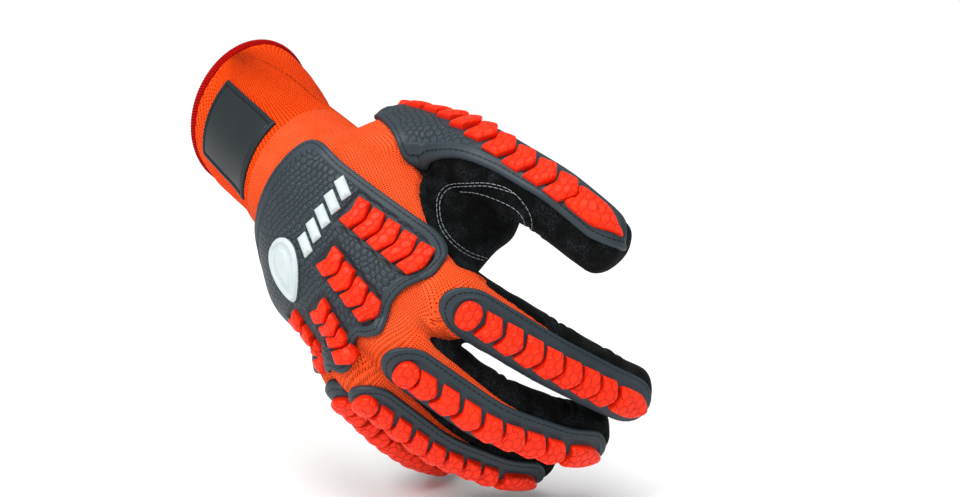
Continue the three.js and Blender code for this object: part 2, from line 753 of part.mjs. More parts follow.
function padPlaces(row) {
  const places = [];
  for (let k = 0; k < row.count; k++) places.push(row.first + row.pitch * k);
  return { places, last: row.first + row.pitch * row.count + row.farther };
}

const padBottom = guardGap + guardThickness + padGap;

function guardStrip(name, low, high) {
  const digit = digits[name];
  const row = padRows[name];
  const { last } = padPlaces(row);
  const half = (guardShare * digit.row.girth) / 2;
  const rows = stripRows(digit, row.first - guardBefore, last + row.lastHalf + guardPast, half);
  return strip(digit, rows, low, high);
}

function fingerGuard(name) {
  return guardStrip(name, guardGap, guardGap + guardThickness).subtract(handForm(guardGap / 2));
}

function thumbGuard() {
  const digit = digits.thumb;
  const sweep = loft(
    thumbPlate.map(({ s, outer, inner }) => {
      const { centre, up, side } = digit.at(s);
      const corner = (x, z) => centre.clone().addScaledVector(side, x).addScaledVector(up, z);
      return [corner(-outer, -1), corner(inner, -2), corner(inner, 32), corner(-outer, 32)];
    }),
  );
  return sweep.intersect(handForm(guardGap + guardThickness)).subtract(handForm(guardGap));
}

// A row of pads in one body: chevrons that point ahead, parted by narrow grooves down to their backing.
// place(along, across, height) puts a point over the surface that carries the row, which bends at bend
function padRow(stations, bendAt, place, depth = 0) {
  const half = backingWidth / 2;
  const halfPad = padWidth / 2;
  return loft(
    stations.map(({ at, raised, wide }) => {
      const height = padBacking + raised * padHeight;
      const shoulder = padBacking + raised * padHeight * 0.82;
      const inset = halfPad * (raised ? 0.86 : 1) * wide;
      const back = (across) => at - (padRake * Math.abs(across)) / halfPad;
      const bend = Math.min(bendAt(at), half * wide * 0.9);
      return [
        place(back(-half * wide), -half * wide, padBacking),
        place(back(-halfPad * wide), -inset, shoulder),
        place(at, 0, height),
        place(back(halfPad * wide), inset, shoulder),
        place(back(half * wide), half * wide, padBacking),
        place(back(half * wide), half * wide, -depth),
        place(back(bend), bend, -depth),
        place(back(bend), -bend, -depth),
        place(back(half * wide), -half * wide, -depth),
      ];
    }),
  );
}

// Stations along a row: every pad rises, runs level and falls into the next groove
function padStations(middles, halves, endsTaper) {
  const groove = 0.75;
  const slope = 0.9;
  const ahead = 0.9;
  const stations = [{ at: middles[0] - halves[0] - 1.2, raised: 0, wide: endsTaper ? 0.7 : 1 }];
  middles.forEach((middle, k) => {
    const from = middle - halves[k] + groove + ahead;
    const to = middle + halves[k] - groove + ahead;
    const firstWide = k === 0 && endsTaper ? 0.8 : 1;
    const lastWide = k === middles.length - 1 && endsTaper ? 0.45 : 1;
    if (k > 0) stations.push({ at: from - groove, raised: 0, wide: 1 });
    stations.push({ at: from + slope * 0.2, raised: 1, wide: firstWide });
    if (lastWide < 1) stations.push({ at: to - 6, raised: 1, wide: 0.96 });
    stations.push({ at: to - slope * 0.2, raised: lastWide < 1 ? 0.8 : 1, wide: lastWide });
  });
  const end = stations[stations.length - 1];
  stations.push({ at: end.at + 1.6, raised: 0, wide: endsTaper ? 0.4 : 1 });
  return stations;
}

function fingerPads(name) {
  const digit = digits[name];
  const row = padRows[name];
  const { places, last } = padPlaces(row);
  const halves = places.map(() => row.pitch / 2);
  const stations = padStations([...places, last], [...halves, row.lastHalf], true);
  const bendAt = (s) => (digit.radiusAt(Math.max(s, 0)) + padBottom) * facetBend;
  const place = (along, across, height) => onDigit(digit, along, across, padBottom + height);
  const pads = padRow(stations, bendAt, place);
  const top = guardGap + guardThickness + padGap / 2;
  return pads.subtract(digit.row === thumb ? handForm(top) : guardStrip(name, 0, top));
}

// The plate on the back of the hand
const plateLow = guardGap;
const plateHigh = guardGap + guardThickness;
function backGuard() {
  const outline = backPlate.map(({ x, y }) => [x * handWidth, y * handLength]);
  const block = prism(outline, backPlateLowest * handDepth, prismHigh, overHand);
  return block.intersect(handForm(plateHigh)).subtract(handForm(plateLow));
}

// A row's own frame on the back of the hand: ahead along the row, up leaning outwards
function rowFrame({ from, to, lean }) {
  const start = inHand(from);
  const ahead = inHand(to).sub(start);
  const length = ahead.length();
  ahead.normalize();
  const up = new THREE.Vector3(0, 0, 1).applyAxisAngle(new THREE.Vector3(0, 1, 0), radians(lean));
  up.addScaledVector(ahead, -ahead.dot(up)).normalize();
  return { start, length, ahead, up, side: new THREE.Vector3().crossVectors(ahead, up) };
}

function backPads(name) {
  const row = backRows[name];
  const { start, length, ahead, up, side } = rowFrame(row);
  const pitch = length / (row.count - 1);
  const middles = Array.from({ length: row.count }, (_, k) => pitch * k);
  const stations = padStations(middles, middles.map(() => pitch / 2), false);
  const above = plateHigh + padGap;
  const flat = (along, across) => start.clone().addScaledVector(ahead, along).addScaledVector(side, across);
  const place = (along, across, height) => onHand(flat(along, across), up, above + height);
  const pads = padRow(stations, () => backingWidth / 4, place, guardThickness);
  const half = backingWidth / 2;
  const [first, last] = [stations[0].at, stations[stations.length - 1].at];
  const swept = (padRake * backingWidth) / padWidth;
  const outline = [
    [first - swept, -half],
    [first, 0],
    [first - swept, half],
    [last - swept, half],
    [last, 0],
    [last - swept, -half],
  ];
  const film = prism(outline, 0, prismHigh, (along, across, height) => flat(along, across).addScaledVector(up, height));
  return pads.add(film.intersect(handForm(above + padBacking))).subtract(handForm(above));
}

function backEmblem() {
  const turn = radians(emblemBlob.turn);
  const middle = inHand(emblemBlob.at);
  const blob = [];
  for (let k = 0; k < 12; k++) {
    const angle = (2 * Math.PI * k) / 12;
    const along = emblemBlob.halfLength * Math.cos(angle);
    const across = emblemBlob.halfWidth * Math.sin(angle) * (1 - 0.25 * Math.cos(angle));
    blob.push([
      middle.x + along * Math.sin(turn) + across * Math.cos(turn),
      middle.y + along * Math.cos(turn) - across * Math.sin(turn),
    ]);
  }
  const shapes = [prism(blob, 0, prismHigh, overHand)];
  const from = inHand(emblemBars.from);
  const to = inHand(emblemBars.to);
  const { count, halfLength, halfWidth, slant } = emblemBars;
  const lean = Math.tan(radians(slant)) * halfLength;
  for (let k = 0; k < count; k++) {
    const { x, y } = from.clone().lerp(to, k / (count - 1));
    const bar = [
      [x - halfWidth - lean, y - halfLength],
      [x + halfWidth - lean, y - halfLength],
      [x + halfWidth + lean, y + halfLength],
      [x - halfWidth + lean, y + halfLength],
    ];
    shapes.push(prism(bar, 0, prismHigh, overHand));
  }
  const link = [
    [to.x, to.y - 1.4],
    [middle.x, from.y - 1.4],
    [middle.x, from.y + 1.4],
    [to.x, to.y + 1.4],
  ];
  const high = plateHigh + padGap;
  const raised = join(shapes).intersect(handForm(high + emblemHeight));
  const film = prism(link, 0, prismHigh, overHand).intersect(handForm(high + padBacking));
  return raised.add(film).subtract(handForm(high));
}

// Pieces, in the order in which the glove is made
const colours = {
  orange: 0xff5a1e,
  suede: 0x14161b,
  hem: 0xc8102e,
  rubber: 0x5c6670,
  pads: 0xff3a20,
  white: 0xf2f2f0,
};
const pieces = [
  ["palm_leather", colours.suede, palmLeather],
  ["back_knit", colours.orange, backKnit],
  ["cuff_knit", colours.orange, cuffKnit],
  ...Object.entries(digits).map(([name, digit]) => [`${name}_leather`, colours.suede, inDigit(leather, digit)]),
  ...Object.entries(digits).map(([name, digit]) => [`${name}_knit`, colours.orange, inDigit(handKnit, digit)]),
  ["cuff_hem", colours.hem, cuffHem()],
  ["cuff_label", colours.rubber, cuffLabel()],
  ["back_guard", colours.rubber, backGuard()],
  ["back_emblem", colours.white, backEmblem()],
  ...Object.keys(backRows).map((name) => [`back_pads_${name}`, colours.pads, backPads(name)]),
  ...Object.keys(fingers).map((name) => [`${name}_guard`, colours.rubber, fingerGuard(name)]),
  ["thumb_guard", colours.rubber, thumbGuard()],
  ...Object.keys(padRows).map((name) => [`${name}_pads`, colours.pads, fingerPads(name)]),
];

const stand = new THREE.Matrix4().makeRotationFromEuler(
  new THREE.Euler(radians(attitude.x), radians(attitude.y), radians(attitude.z), "ZYX"),
);
const glove = new THREE.Group();
glove.name = "impact_glove";
for (const [name, colour, solid] of pieces) {
  const material = new THREE.MeshStandardMaterial({ color: colour, roughness: 0.8 });
  const mesh = new THREE.Mesh(geometryOf(solid).applyMatrix4(stand), material);
  mesh.name = name;
  glove.add(mesh);
}

export default glove;
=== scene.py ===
# %% [markdown]
# # Impact glove
#
# A right-hand work glove, half closed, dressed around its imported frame. The cloth is one skin over a hand's
# form, cut along its seams. Every guard, pad and stitch is then laid on that skin.
#
# Lengths are in millimetres, in the hand's own frame: x runs towards the little finger, y towards the
# fingertips and z out of the back of the hand. A last step turns the pieces to the frame's attitude, in
# metres.

# %%
import math

import bmesh
import bpy
import numpy as np
from mathutils import Euler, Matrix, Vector
from mathutils.bvhtree import BVHTree
from mathutils.geometry import delaunay_2d_cdt


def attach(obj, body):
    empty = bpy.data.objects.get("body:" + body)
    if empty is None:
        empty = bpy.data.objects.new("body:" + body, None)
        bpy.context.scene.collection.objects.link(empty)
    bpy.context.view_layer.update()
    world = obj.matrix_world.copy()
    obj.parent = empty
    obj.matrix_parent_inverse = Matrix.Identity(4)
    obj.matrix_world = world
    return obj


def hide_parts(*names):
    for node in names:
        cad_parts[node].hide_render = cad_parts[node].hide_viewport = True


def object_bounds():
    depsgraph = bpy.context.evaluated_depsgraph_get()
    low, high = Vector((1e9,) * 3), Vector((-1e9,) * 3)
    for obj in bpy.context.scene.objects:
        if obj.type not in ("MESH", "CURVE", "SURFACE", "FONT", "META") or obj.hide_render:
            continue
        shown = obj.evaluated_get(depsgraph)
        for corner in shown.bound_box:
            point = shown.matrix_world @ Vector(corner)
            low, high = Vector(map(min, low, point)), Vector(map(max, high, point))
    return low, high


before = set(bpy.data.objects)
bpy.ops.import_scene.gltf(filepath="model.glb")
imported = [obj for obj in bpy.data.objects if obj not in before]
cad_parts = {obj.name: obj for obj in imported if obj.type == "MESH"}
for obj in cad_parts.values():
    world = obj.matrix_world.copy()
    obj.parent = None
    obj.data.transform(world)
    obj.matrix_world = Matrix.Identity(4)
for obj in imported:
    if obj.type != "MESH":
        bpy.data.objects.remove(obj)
cad_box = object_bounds()

# %% [markdown]
# ## The hand's form
#
# The same sizes as the frame's. The tables hold shares of the hand's width, length and depth.

# %%
HAND_WIDTH = 84
HAND_LENGTH = 88
HAND_DEPTH = 44
CLOTH_WALL = 1.6
GUARD_GAP = 0.4
GUARD_THICKNESS = 2.0
PAD_HEIGHT = 4.1

CUFF_LENGTH = 71
CUFF_BEND_BACK = 21.7
CUFF_BEND_ASIDE = 15.9
HEM_HALF = (36, 27.5)
WRIST_HALF = (30.5, 23)
CUFF_TWIST = -26
HEM_WIDTH = 4.2
WRIST_SEAM = 3

CUFF_SECTIONS = [
    {"share": 1.2, "swell": 1.08},
    {"share": 1.0, "swell": 1.0},
    {"share": 0.94, "swell": 0.97},
    {"share": 0.7, "swell": 0.82},
    {"share": 0.45, "swell": 0.45},
    {"share": 0.2, "swell": 0.1},
]
PALM_SECTIONS = [
    {"at": (-0.024, 0.045, 0), "half": (0.399, 0.545), "drop": (0, 0), "yaw": 0, "pitch": 8, "twist": -14,
     "square": 2.1},
    {"at": (-0.06, 0.25, 0), "half": (0.494, 0.523), "drop": (0.068, 0.045), "yaw": 0, "pitch": 0,
     "twist": -6, "square": 2.2},
    {"at": (-0.036, 0.477, 0), "half": (0.524, 0.5), "drop": (0.091, 0.136), "yaw": -2, "pitch": 0,
     "twist": 0, "square": 2.3},
    {"at": (-0.036, 0.705, 0), "half": (0.482, 0.466), "drop": (0.091, 0.227), "yaw": -4, "pitch": 4,
     "twist": 0, "square": 2.4},
    {"at": (-0.042, 0.898, 0), "half": (0.458, 0.398), "drop": (0.114, 0.318), "yaw": -7, "pitch": 12,
     "twist": 0, "square": 2.4},
    {"at": (-0.042, 1.045, -0.068), "half": (0.423, 0.318), "drop": (0.114, 0.295), "yaw": -8, "pitch": 30,
     "twist": 0, "square": 2.3},
    {"at": (-0.012, 1.148, -0.205), "half": (0.393, 0.182), "drop": (0.091, 0.205), "yaw": -8, "pitch": 40,
     "twist": 0, "square": 2.2},
]
FINGERS = {
    "index": {"knuckle": (-0.357, 0.989, -0.011), "bones": (46, 27, 26), "bends": (40.8, 14.5, 6.8),
    "lean": -16.9, "roll": 1.1, "girth": 26.8},
    "middle": {"knuckle": (-0.012, 1.002, 0.107), "bones": (50, 31, 27), "bends": (38.9, 23.6, 16),
    "lean": -2.9, "roll": 13.8, "girth": 26.8},
    "ring": {"knuckle": (0.226, 0.975, 0.023), "bones": (46, 29, 27), "bends": (42.4, 16.7, 14.8),
    "lean": 14.3, "roll": 21.4, "girth": 25.8},
    "little": {"knuckle": (0.36, 0.886, -0.198), "bones": (37, 22, 28), "bends": (56.7, 8.8, 13.8),
    "lean": 30.6, "roll": 5.5, "girth": 24},
}
THUMB = {"root": (-0.531, 0.122, -0.243), "aside": 32.7, "rise": 4.9, "roll": 41.1, "bones": (46, 36, 32),
    "bends": (0, 13.6, 13), "girth": 27.6}
FINGER_TAPER = (0.67, 1, 0.955, 0.88)
THUMB_TAPER = (0.6, 0.8, 1, 0.9)
JOINT_SPREAD = (12, 9, 7)
FINGER_ROOT = 16
THUMB_ROOT = 9
TIP_RISE = 3
TIP_ROUND = 9
WEB_SECTIONS = [
    {"at": (-0.905, 0.636, -0.273), "half": (0.125, 0.159)},
    {"at": (-0.81, 0.602, -0.364), "half": (0.227, 0.295)},
    {"at": (-0.69, 0.557, -0.432), "half": (0.318, 0.386)},
    {"at": (-0.571, 0.523, -0.409), "half": (0.364, 0.409)},
    {"at": (-0.452, 0.523, -0.295), "half": (0.409, 0.409)},
    {"at": (-0.286, 0.545, -0.159), "half": (0.432, 0.364)},
]
BALL_RINGS = [(-5, 0.66), (8, 0.81), (24, 0.9)]

HAND = np.array([HAND_WIDTH, HAND_LENGTH, HAND_DEPTH], float)
TURN = np.array(Euler([math.radians(a) for a in (-64.3, 41.6, 167)], "XYZ").to_matrix())


def unit(v):
    return v / np.maximum(np.linalg.norm(v, axis=-1, keepdims=True), 1e-9)


def smooth(low, high, x):
    t = np.clip((x - low) / (high - low), 0, 1)
    return t * t * (3 - 2 * t)


def through(rows, steps):
    """A smooth run through the rows of a table of numbers, with the same number of steps between two rows."""
    rows = np.asarray(rows, float)
    padded = np.concatenate([2 * rows[:1] - rows[1:2], rows, 2 * rows[-1:] - rows[-2:-1]])
    t = np.linspace(0, 1, steps, endpoint=False).reshape(-1, *[1] * (rows.ndim - 1))
    runs = []
    for a, b, c, d in zip(padded, padded[1:], padded[2:], padded[3:]):
        runs.append(0.5 * (2 * b + (c - a) * t + (2 * a - 5 * b + 4 * c - d) * t**2
            + (3 * b - a - 3 * c + d) * t**3))
    return np.concatenate([*runs, rows[-1:]])


CUFF_LINE = np.array([
    math.sin(math.radians(CUFF_BEND_ASIDE)),
    -math.cos(math.radians(CUFF_BEND_ASIDE)) * math.cos(math.radians(CUFF_BEND_BACK)),
    -math.cos(math.radians(CUFF_BEND_ASIDE)) * math.sin(math.radians(CUFF_BEND_BACK)),
])


def frame_across(forward, twist):
    side = unit(np.array([1.0, 0, 0]) - forward * forward[0])
    up = unit(np.cross(side, forward))
    c, s = math.cos(math.radians(twist)), math.sin(math.radians(twist))
    return side * c + up * s, up * c - side * s


def trunk_frame(centre, side, up, half, drop, square):
    return np.concatenate([centre, side, up, half, drop, [square]])


def cuff_frame(share, swell):
    side, up = frame_across(-CUFF_LINE, CUFF_TWIST * (0.6 + 0.4 * share))
    half = [w + (h - w) * swell for w, h in zip(WRIST_HALF, HEM_HALF)]
    return trunk_frame(CUFF_LINE * CUFF_LENGTH * share, side, up, half, [0, 0], 2)


def palm_frame(row):
    pitch, yaw = math.radians(-row["pitch"]), math.radians(row["yaw"])
    ahead = np.array([-math.sin(yaw) * math.cos(pitch), math.cos(yaw) * math.cos(pitch), math.sin(pitch)])
    side, up = frame_across(ahead, row["twist"])
    half = np.array(row["half"]) * (HAND_WIDTH, HAND_DEPTH)
    return trunk_frame(row["at"] * HAND, side, up, half, np.array(row["drop"]) * HAND_DEPTH, row["square"])


def trunk_ring(f, sides, offset=0.0):
    """One oval section of cuff or hand, which hangs lower at its sides."""
    a = np.arange(sides) * 2 * math.pi / sides
    power = 2 / f[13]
    x = (f[9] + offset) * np.sign(np.cos(a)) * np.abs(np.cos(a)) ** power
    z = (f[10] + offset) * np.sign(np.sin(a)) * np.abs(np.sin(a)) ** power
    z = z - np.where(x < 0, f[11], f[12]) * (x / f[9]) ** 2
    return f[0:3] + x[:, None] * unit(f[3:6]) + z[:, None] * unit(f[6:9])


class Digit:
    """A finger's or thumb's centre line, its directions and its radius, in steps of half a millimetre."""

    def __init__(self, start, turn, row, root, taper):
        self.row, self.root, self.length = row, root, sum(row["bones"])
        self.to = self.length + TIP_RISE
        self.step = 0.5
        self.s = np.arange(-root, self.to + 12, self.step)
        joints = np.cumsum((0, *row["bones"][:2]))
        bend = sum(
            math.radians(b) * smooth(j - w, j + w, self.s) for b, j,
            w in zip(row["bends"], joints, JOINT_SPREAD)
        )
        over = row["girth"] / 2 + 4
        self.outer = np.cumsum(1 + np.gradient(bend, self.step) * over) * self.step
        self.outer -= self.outer[int(round(root / self.step))]
        y = np.cumsum(np.cos(bend)) * self.step
        z = -np.cumsum(np.sin(bend)) * self.step
        zero = int(round(root / self.step))
        flat = np.stack([0 * y, y - y[zero], z - z[zero]], -1)
        self.centre = start + flat @ turn.T
        self.up = np.stack([0 * y, np.sin(bend), np.cos(bend)], -1) @ turn.T
        self.ahead = np.stack([0 * y, np.cos(bend), -np.sin(bend)], -1) @ turn.T
        self.side = np.array([1.0, 0, 0]) @ turn.T
        r = np.array(taper) * row["girth"] / 2
        first = row["bones"][0]
        self.radius = np.where(
            self.s < 0,
            r[0] + (r[1] - r[0]) * smooth(-root, 0, self.s),
            np.where(self.s < first, r[1] + (r[2] - r[1]) * self.s / first,
                     r[2] + (r[3] - r[2]) * (self.s - first) / (self.length - first)),
        )

    def at(self, values, s):
        """Values along the digit, such as centre or up, at the places s."""
        place = np.clip((np.asarray(s, float) + self.root) / self.step, 0, len(self.s) - 1.001)
        low = place.astype(int)
        part = place - low
        if values.ndim == 2:
            part = part[..., None]
        return values[low] * (1 - part) + values[low + 1] * part

    def ring(self, s, radius, sides):
        a = (np.arange(sides) + 0.5) * 2 * math.pi / sides
        up = unit(self.at(self.up, s))
        return self.at(self.centre, s) + radius * (np.cos(a)[:, None] * self.side + np.sin(a)[:, None] * up)


def make_digits():
    made = {}
    for name, row in FINGERS.items():
        turn = np.array((Euler((0, math.radians(row["roll"]), 0)).to_matrix() @ Euler((0, 0,
            math.radians(-row["lean"]))).to_matrix()))
        made[name] = Digit(row["knuckle"] * HAND, turn, row, FINGER_ROOT, FINGER_TAPER)
    aside, rise, roll = (math.radians(THUMB[k]) for k in ("aside", "rise", "roll"))
    ahead = unit(np.array([-math.sin(aside), math.cos(aside), math.tan(rise)]))
    up = unit(np.array([0, 0, 1.0]) - ahead * ahead[2])
    up = up * math.cos(roll) - np.cross(ahead, up) * math.sin(roll)
    made["thumb"] = Digit(THUMB["root"] * HAND, np.stack([np.cross(ahead, up), ahead, up], -1), THUMB,
        THUMB_ROOT, THUMB_TAPER)
    return made


DIGITS = make_digits()

# %% [markdown]
# ## The skin
#
# Tubes for the digits, one for hand and cuff, the web and the ball of the thumb. A voxel remesh joins them
# and smoothing rounds the creases between them, as cloth does.


# %%
def loft(rings):
    """A closed tube through rings that have the same number of points."""
    count, sides = len(rings), len(rings[0])
    points = [p for ring in rings for p in ring]
    faces = []
    for r in range(count - 1):
        for k in range(sides):
            n = (k + 1) % sides
            faces.append((r * sides + k, r * sides + n, (r + 1) * sides + n, (r + 1) * sides + k))
    faces.append(tuple(reversed(range(sides))))
    faces.append(tuple(range((count - 1) * sides, count * sides)))
    return points, faces


def hull(points):
    bm = bmesh.new()
    for p in points:
        bm.verts.new(p)
    made = bmesh.ops.convex_hull(bm, input=bm.verts)
    bmesh.ops.delete(bm, geom=[v for v in made["geom_interior"] if isinstance(v, bmesh.types.BMVert)],
        context="VERTS")
    bm.verts.index_update()
    out = [tuple(v.co) for v in bm.verts], [tuple(v.index for v in f.verts) for f in bm.faces]
    bm.free()
    return out


def digit_rings(digit):
    places = [*np.arange(-digit.root, digit.to - TIP_ROUND, 2.0),
        *(digit.to - TIP_ROUND * np.array([1, 0.75, 0.5, 0.3, 0.15, 0.05, 0]))]
    rings = []
    for s in places:
        past = max(0.0, (s - digit.to + TIP_ROUND) / (TIP_ROUND * 1.04))
        rings.append(digit.ring(s, digit.at(digit.radius, s) * math.sqrt(1 - past**2.4), 40))
    return rings


TRUNK = through([cuff_frame(**row) for row in CUFF_SECTIONS] + [palm_frame(row) for row in PALM_SECTIONS],
    8)


def web_rings():
    rows = through([[*row["at"], *row["half"]] for row in WEB_SECTIONS], 6)
    a = np.arange(40) * 2 * math.pi / 40
    rings = []
    for row in rows:
        centre = row[:3] * HAND
        y = row[3] * HAND_LENGTH * np.cos(a)
        z = row[4] * HAND_DEPTH * np.sin(a)
        rings.append(centre + np.stack([0 * a, y, z], -1))
    return rings


def ball_points():
    thumb = DIGITS["thumb"]
    points = [p for s, share in BALL_RINGS for p in thumb.ring(s, share * THUMB["girth"] / 2, 24)]
    for row in PALM_SECTIONS[:2]:
        f = palm_frame(row)
        points += [p for p in trunk_ring(f, 28, -0.8) if p[0] < f[0]]
    return points


VOXEL = 1.0


def make_skin():
    parts = [loft([trunk_ring(f, 64) for f in TRUNK]), loft(web_rings()), hull(ball_points())]
    parts += [loft(digit_rings(d)) for d in DIGITS.values()]
    points, faces = [], []
    for part_points, part_faces in parts:
        base = len(points)
        points += [Vector(p) for p in part_points]
        faces += [tuple(i + base for i in f) for f in part_faces]
    mesh = bpy.data.meshes.new("form")
    mesh.from_pydata(points, [], faces)
    bm = bmesh.new()
    bm.from_mesh(mesh)
    bmesh.ops.recalc_face_normals(bm, faces=bm.faces)
    bm.to_mesh(mesh)
    bm.free()
    form = bpy.data.objects.new("form", mesh)
    bpy.context.scene.collection.objects.link(form)
    remesh = form.modifiers.new("remesh", "REMESH")
    remesh.mode = "VOXEL"
    remesh.voxel_size = VOXEL
    relax = form.modifiers.new("relax", "SMOOTH")
    relax.factor = 0.5
    relax.iterations = 14
    split = form.modifiers.new("split", "TRIANGULATE")
    split.quad_method = "SHORTEST_DIAGONAL"
    done = form.evaluated_get(bpy.context.evaluated_depsgraph_get()).to_mesh()
    p = np.zeros(len(done.vertices) * 3)
    done.vertices.foreach_get("co", p)
    t = np.zeros(len(done.polygons) * 3, int)
    done.polygons.foreach_get("vertices", t)
    bpy.data.objects.remove(form)
    return p.reshape(-1, 3), t.reshape(-1, 3)


def vertex_normals(points, triangles):
    a, b, c = (points[triangles[:, k]] for k in range(3))
    n = np.cross(b - a, c - a)
    out = np.zeros_like(points)
    for k in range(3):
        np.add.at(out, triangles[:, k], n)
    return unit(out)


def relaxed(values, triangles, rounds):
    """Values on a mesh's points, averaged with their neighbours'."""
    values = values.copy()
    ends = np.concatenate([triangles[:, [0, 1]], triangles[:, [1, 2]], triangles[:, [2, 0]]])
    degree = np.bincount(ends[:, 0], minlength=len(values)).astype(float)
    for _ in range(rounds):
        total = np.bincount(ends[:, 0], weights=values[ends[:, 1]], minlength=len(values))
        values = 0.5 * values + 0.5 * total / np.maximum(degree, 1)
    return values


SKIN, SKIN_FACES = make_skin()
SKIN_NORMALS = vertex_normals(SKIN, SKIN_FACES)
SKIN_TREE = BVHTree.FromPolygons([Vector(p) for p in SKIN], [tuple(int(i) for i in t) for t in SKIN_FACES])
print("skin", len(SKIN), "points", len(SKIN_FACES), "triangles")

# %% [markdown]
# ## Where a point of the skin lies
#
# Its nearest digit, how far along it and round it, and how far along the cuff. The knit's stitches run in u
# across and v along the hand, and turn onto each digit at its knuckle.


# %%
def along_digit(digit, points):
    """Each point's place along the digit, its angle from the middle of the back, and its distance out."""
    inside = (digit.s >= -digit.root) & (digit.s <= digit.to)
    line, places = digit.centre[inside], digit.s[inside]
    nearest = np.zeros(len(points), int)
    for k in range(0, len(points), 20000):
        chunk = points[k:k + 20000]
        nearest[k:k + 20000] = np.argmin(((chunk[:, None] - line[None, ::2]) ** 2).sum(-1), axis=1) * 2
    s = places[nearest]
    away = points - line[nearest]
    s = s + (away * digit.ahead[inside][nearest]).sum(-1)
    away = points - digit.at(digit.centre, np.clip(s, -digit.root, digit.to))
    across = away @ digit.side
    height = (away * digit.at(digit.up, s)).sum(-1)
    return s, np.arctan2(across, height), np.hypot(across, height)


def skin_fields(points):
    """u and v of the knit, the nearest digit, and each point's place along and round every digit."""
    u = points[:, 0].copy()
    v = points[:, 1].copy()
    best = np.full(len(points), 1e9)
    owner = np.full(len(points), -1)
    places = {}
    for k, (name, digit) in enumerate(DIGITS.items()):
        s, angle, out = along_digit(digit, points)
        r = digit.at(digit.radius, s)
        places[name] = (s, angle, out, r)
        gap = out - r + np.where(s < 0, -s * 0.6, 0)
        closer = gap < best
        best[closer] = gap[closer]
        owner[closer] = k
    return u, v, owner, places


KNIT_U, KNIT_V, OWNER, PLACES = skin_fields(SKIN)
CUFF_ALONG = SKIN @ CUFF_LINE

# Stitches run round the cuff and hand, and along each digit
ring_angle = np.arctan2(SKIN[:, 2] / HAND_DEPTH, (SKIN[:, 0] + 2) / HAND_WIDTH)
round_table = np.linspace(-math.pi, math.pi, 721)
round_speed = np.hypot(0.5 * HAND_WIDTH * np.sin(round_table), 0.5 * HAND_DEPTH * np.cos(round_table))
round_length = np.concatenate([[0], np.cumsum((round_speed[1:] + round_speed[:-1]) / 2)
    * (round_table[1] - round_table[0])])
hand_u = np.interp(ring_angle, round_table, round_length)
KNIT_U = hand_u
for k, (name, digit) in enumerate(DIGITS.items()):
    s, angle, out, r = PLACES[name]
    part = (OWNER == k) * smooth(-4, 9, s) * smooth(6, 1.5, out - r)
    knuckle = digit.at(digit.centre, 0)
    base_u = np.interp(math.atan2(knuckle[2] + digit.row["girth"] / 2,
        knuckle[0] * HAND_DEPTH / HAND_WIDTH), round_table, round_length)
    KNIT_U = KNIT_U * (1 - part) + (base_u - angle * digit.row["girth"] / 2) * part
    KNIT_V = KNIT_V * (1 - part) + (knuckle[1] + s) * part

# %% [markdown]
# ## Seams
#
# Suede covers the palm, the crotch of the thumb, and the sides, fronts and tips of the digits.

# %%
PALM_SEAM = [
    {"y": 0.08, "inner": -0.068, "middle": -0.068, "outer": -0.091},
    {"y": 0.477, "inner": -0.045, "middle": -0.068, "outer": -0.182},
    {"y": 0.886, "inner": -0.045, "middle": -0.136, "outer": -0.386},
    {"y": 1.045, "inner": -0.114, "middle": -0.295, "outer": -0.773},
    {"y": 1.193, "inner": -0.318, "middle": -0.5, "outer": -1.409},
]
SEAM_COLUMNS = {"inner": -0.24, "middle": 0.24, "outer": 0.48}
CROTCH_PATCH = [
    (-0.786, 0.648), (-0.679, 0.511), (-0.595, 0.443), (-0.536, 0.5), (-0.488, 0.659), (-0.476, 0.807),
    (-0.512, 0.977), (-0.714, 1.091), (-0.976, 0.955),
]
CROTCH_TOP = 0.3
DIGIT_SEAM = [(0.1, 66), (0.3, 60), (0.5, 51), (0.62, 42), (0.97, 36)]
THUMB_SEAM = [(0.1, 64), (0.3, 50), (0.42, 36), (0.55, 26), (0.97, 24)]
SUEDE_TIP = 13


def to_outline(points, outline):
    """Signed distance to a closed outline, above 0 inside, and how far along it the nearest point lies."""
    outline = np.asarray(outline, float)
    ends = np.roll(outline, -1, axis=0)
    run = ends - outline
    length = np.maximum(np.linalg.norm(run, axis=1), 1e-9)
    start = np.concatenate([[0], np.cumsum(length)[:-1]])
    distance = np.zeros(len(points))
    along = np.zeros(len(points))
    for k in range(0, len(points), 4000):
        p = points[k:k + 4000, None]
        t = np.clip(((p - outline) * run).sum(-1) / length**2, 0, 1)
        gap = np.linalg.norm(p - outline - t[..., None] * run, axis=-1)
        near = gap.argmin(1)
        row = np.arange(len(near))
        crossing = ((outline[:, 1] > p[..., 1]) != (ends[:, 1] > p[..., 1])) & (
            p[..., 0] < run[:, 0] * (p[..., 1] - outline[:, 1]) / np.where(run[:, 1] == 0, 1e-9,
            run[:, 1]) + outline[:, 0]
        )
        inside = crossing.sum(1) % 2 == 1
        distance[k:k + 4000] = np.where(inside, 1, -1) * gap[row, near]
        along[k:k + 4000] = start[near] + t[row, near] * length[near]
    return distance, along


def closed_curve(points, step):
    """A smooth closed curve through the points, in even steps."""
    points = np.asarray(points, float)
    n = len(points)
    run = through(np.concatenate([points[-2:], points, points[:3]]), 12)[24:24 + 12 * n]
    run = np.concatenate([run, run[:1]])
    length = np.concatenate([[0], np.cumsum(np.linalg.norm(np.diff(run, axis=0), axis=1))])
    count = max(12, int(length[-1] / step))
    at = np.linspace(0, length[-1], count, endpoint=False)
    return np.stack([np.interp(at, length, run[:, k]) for k in range(points.shape[1])], -1)


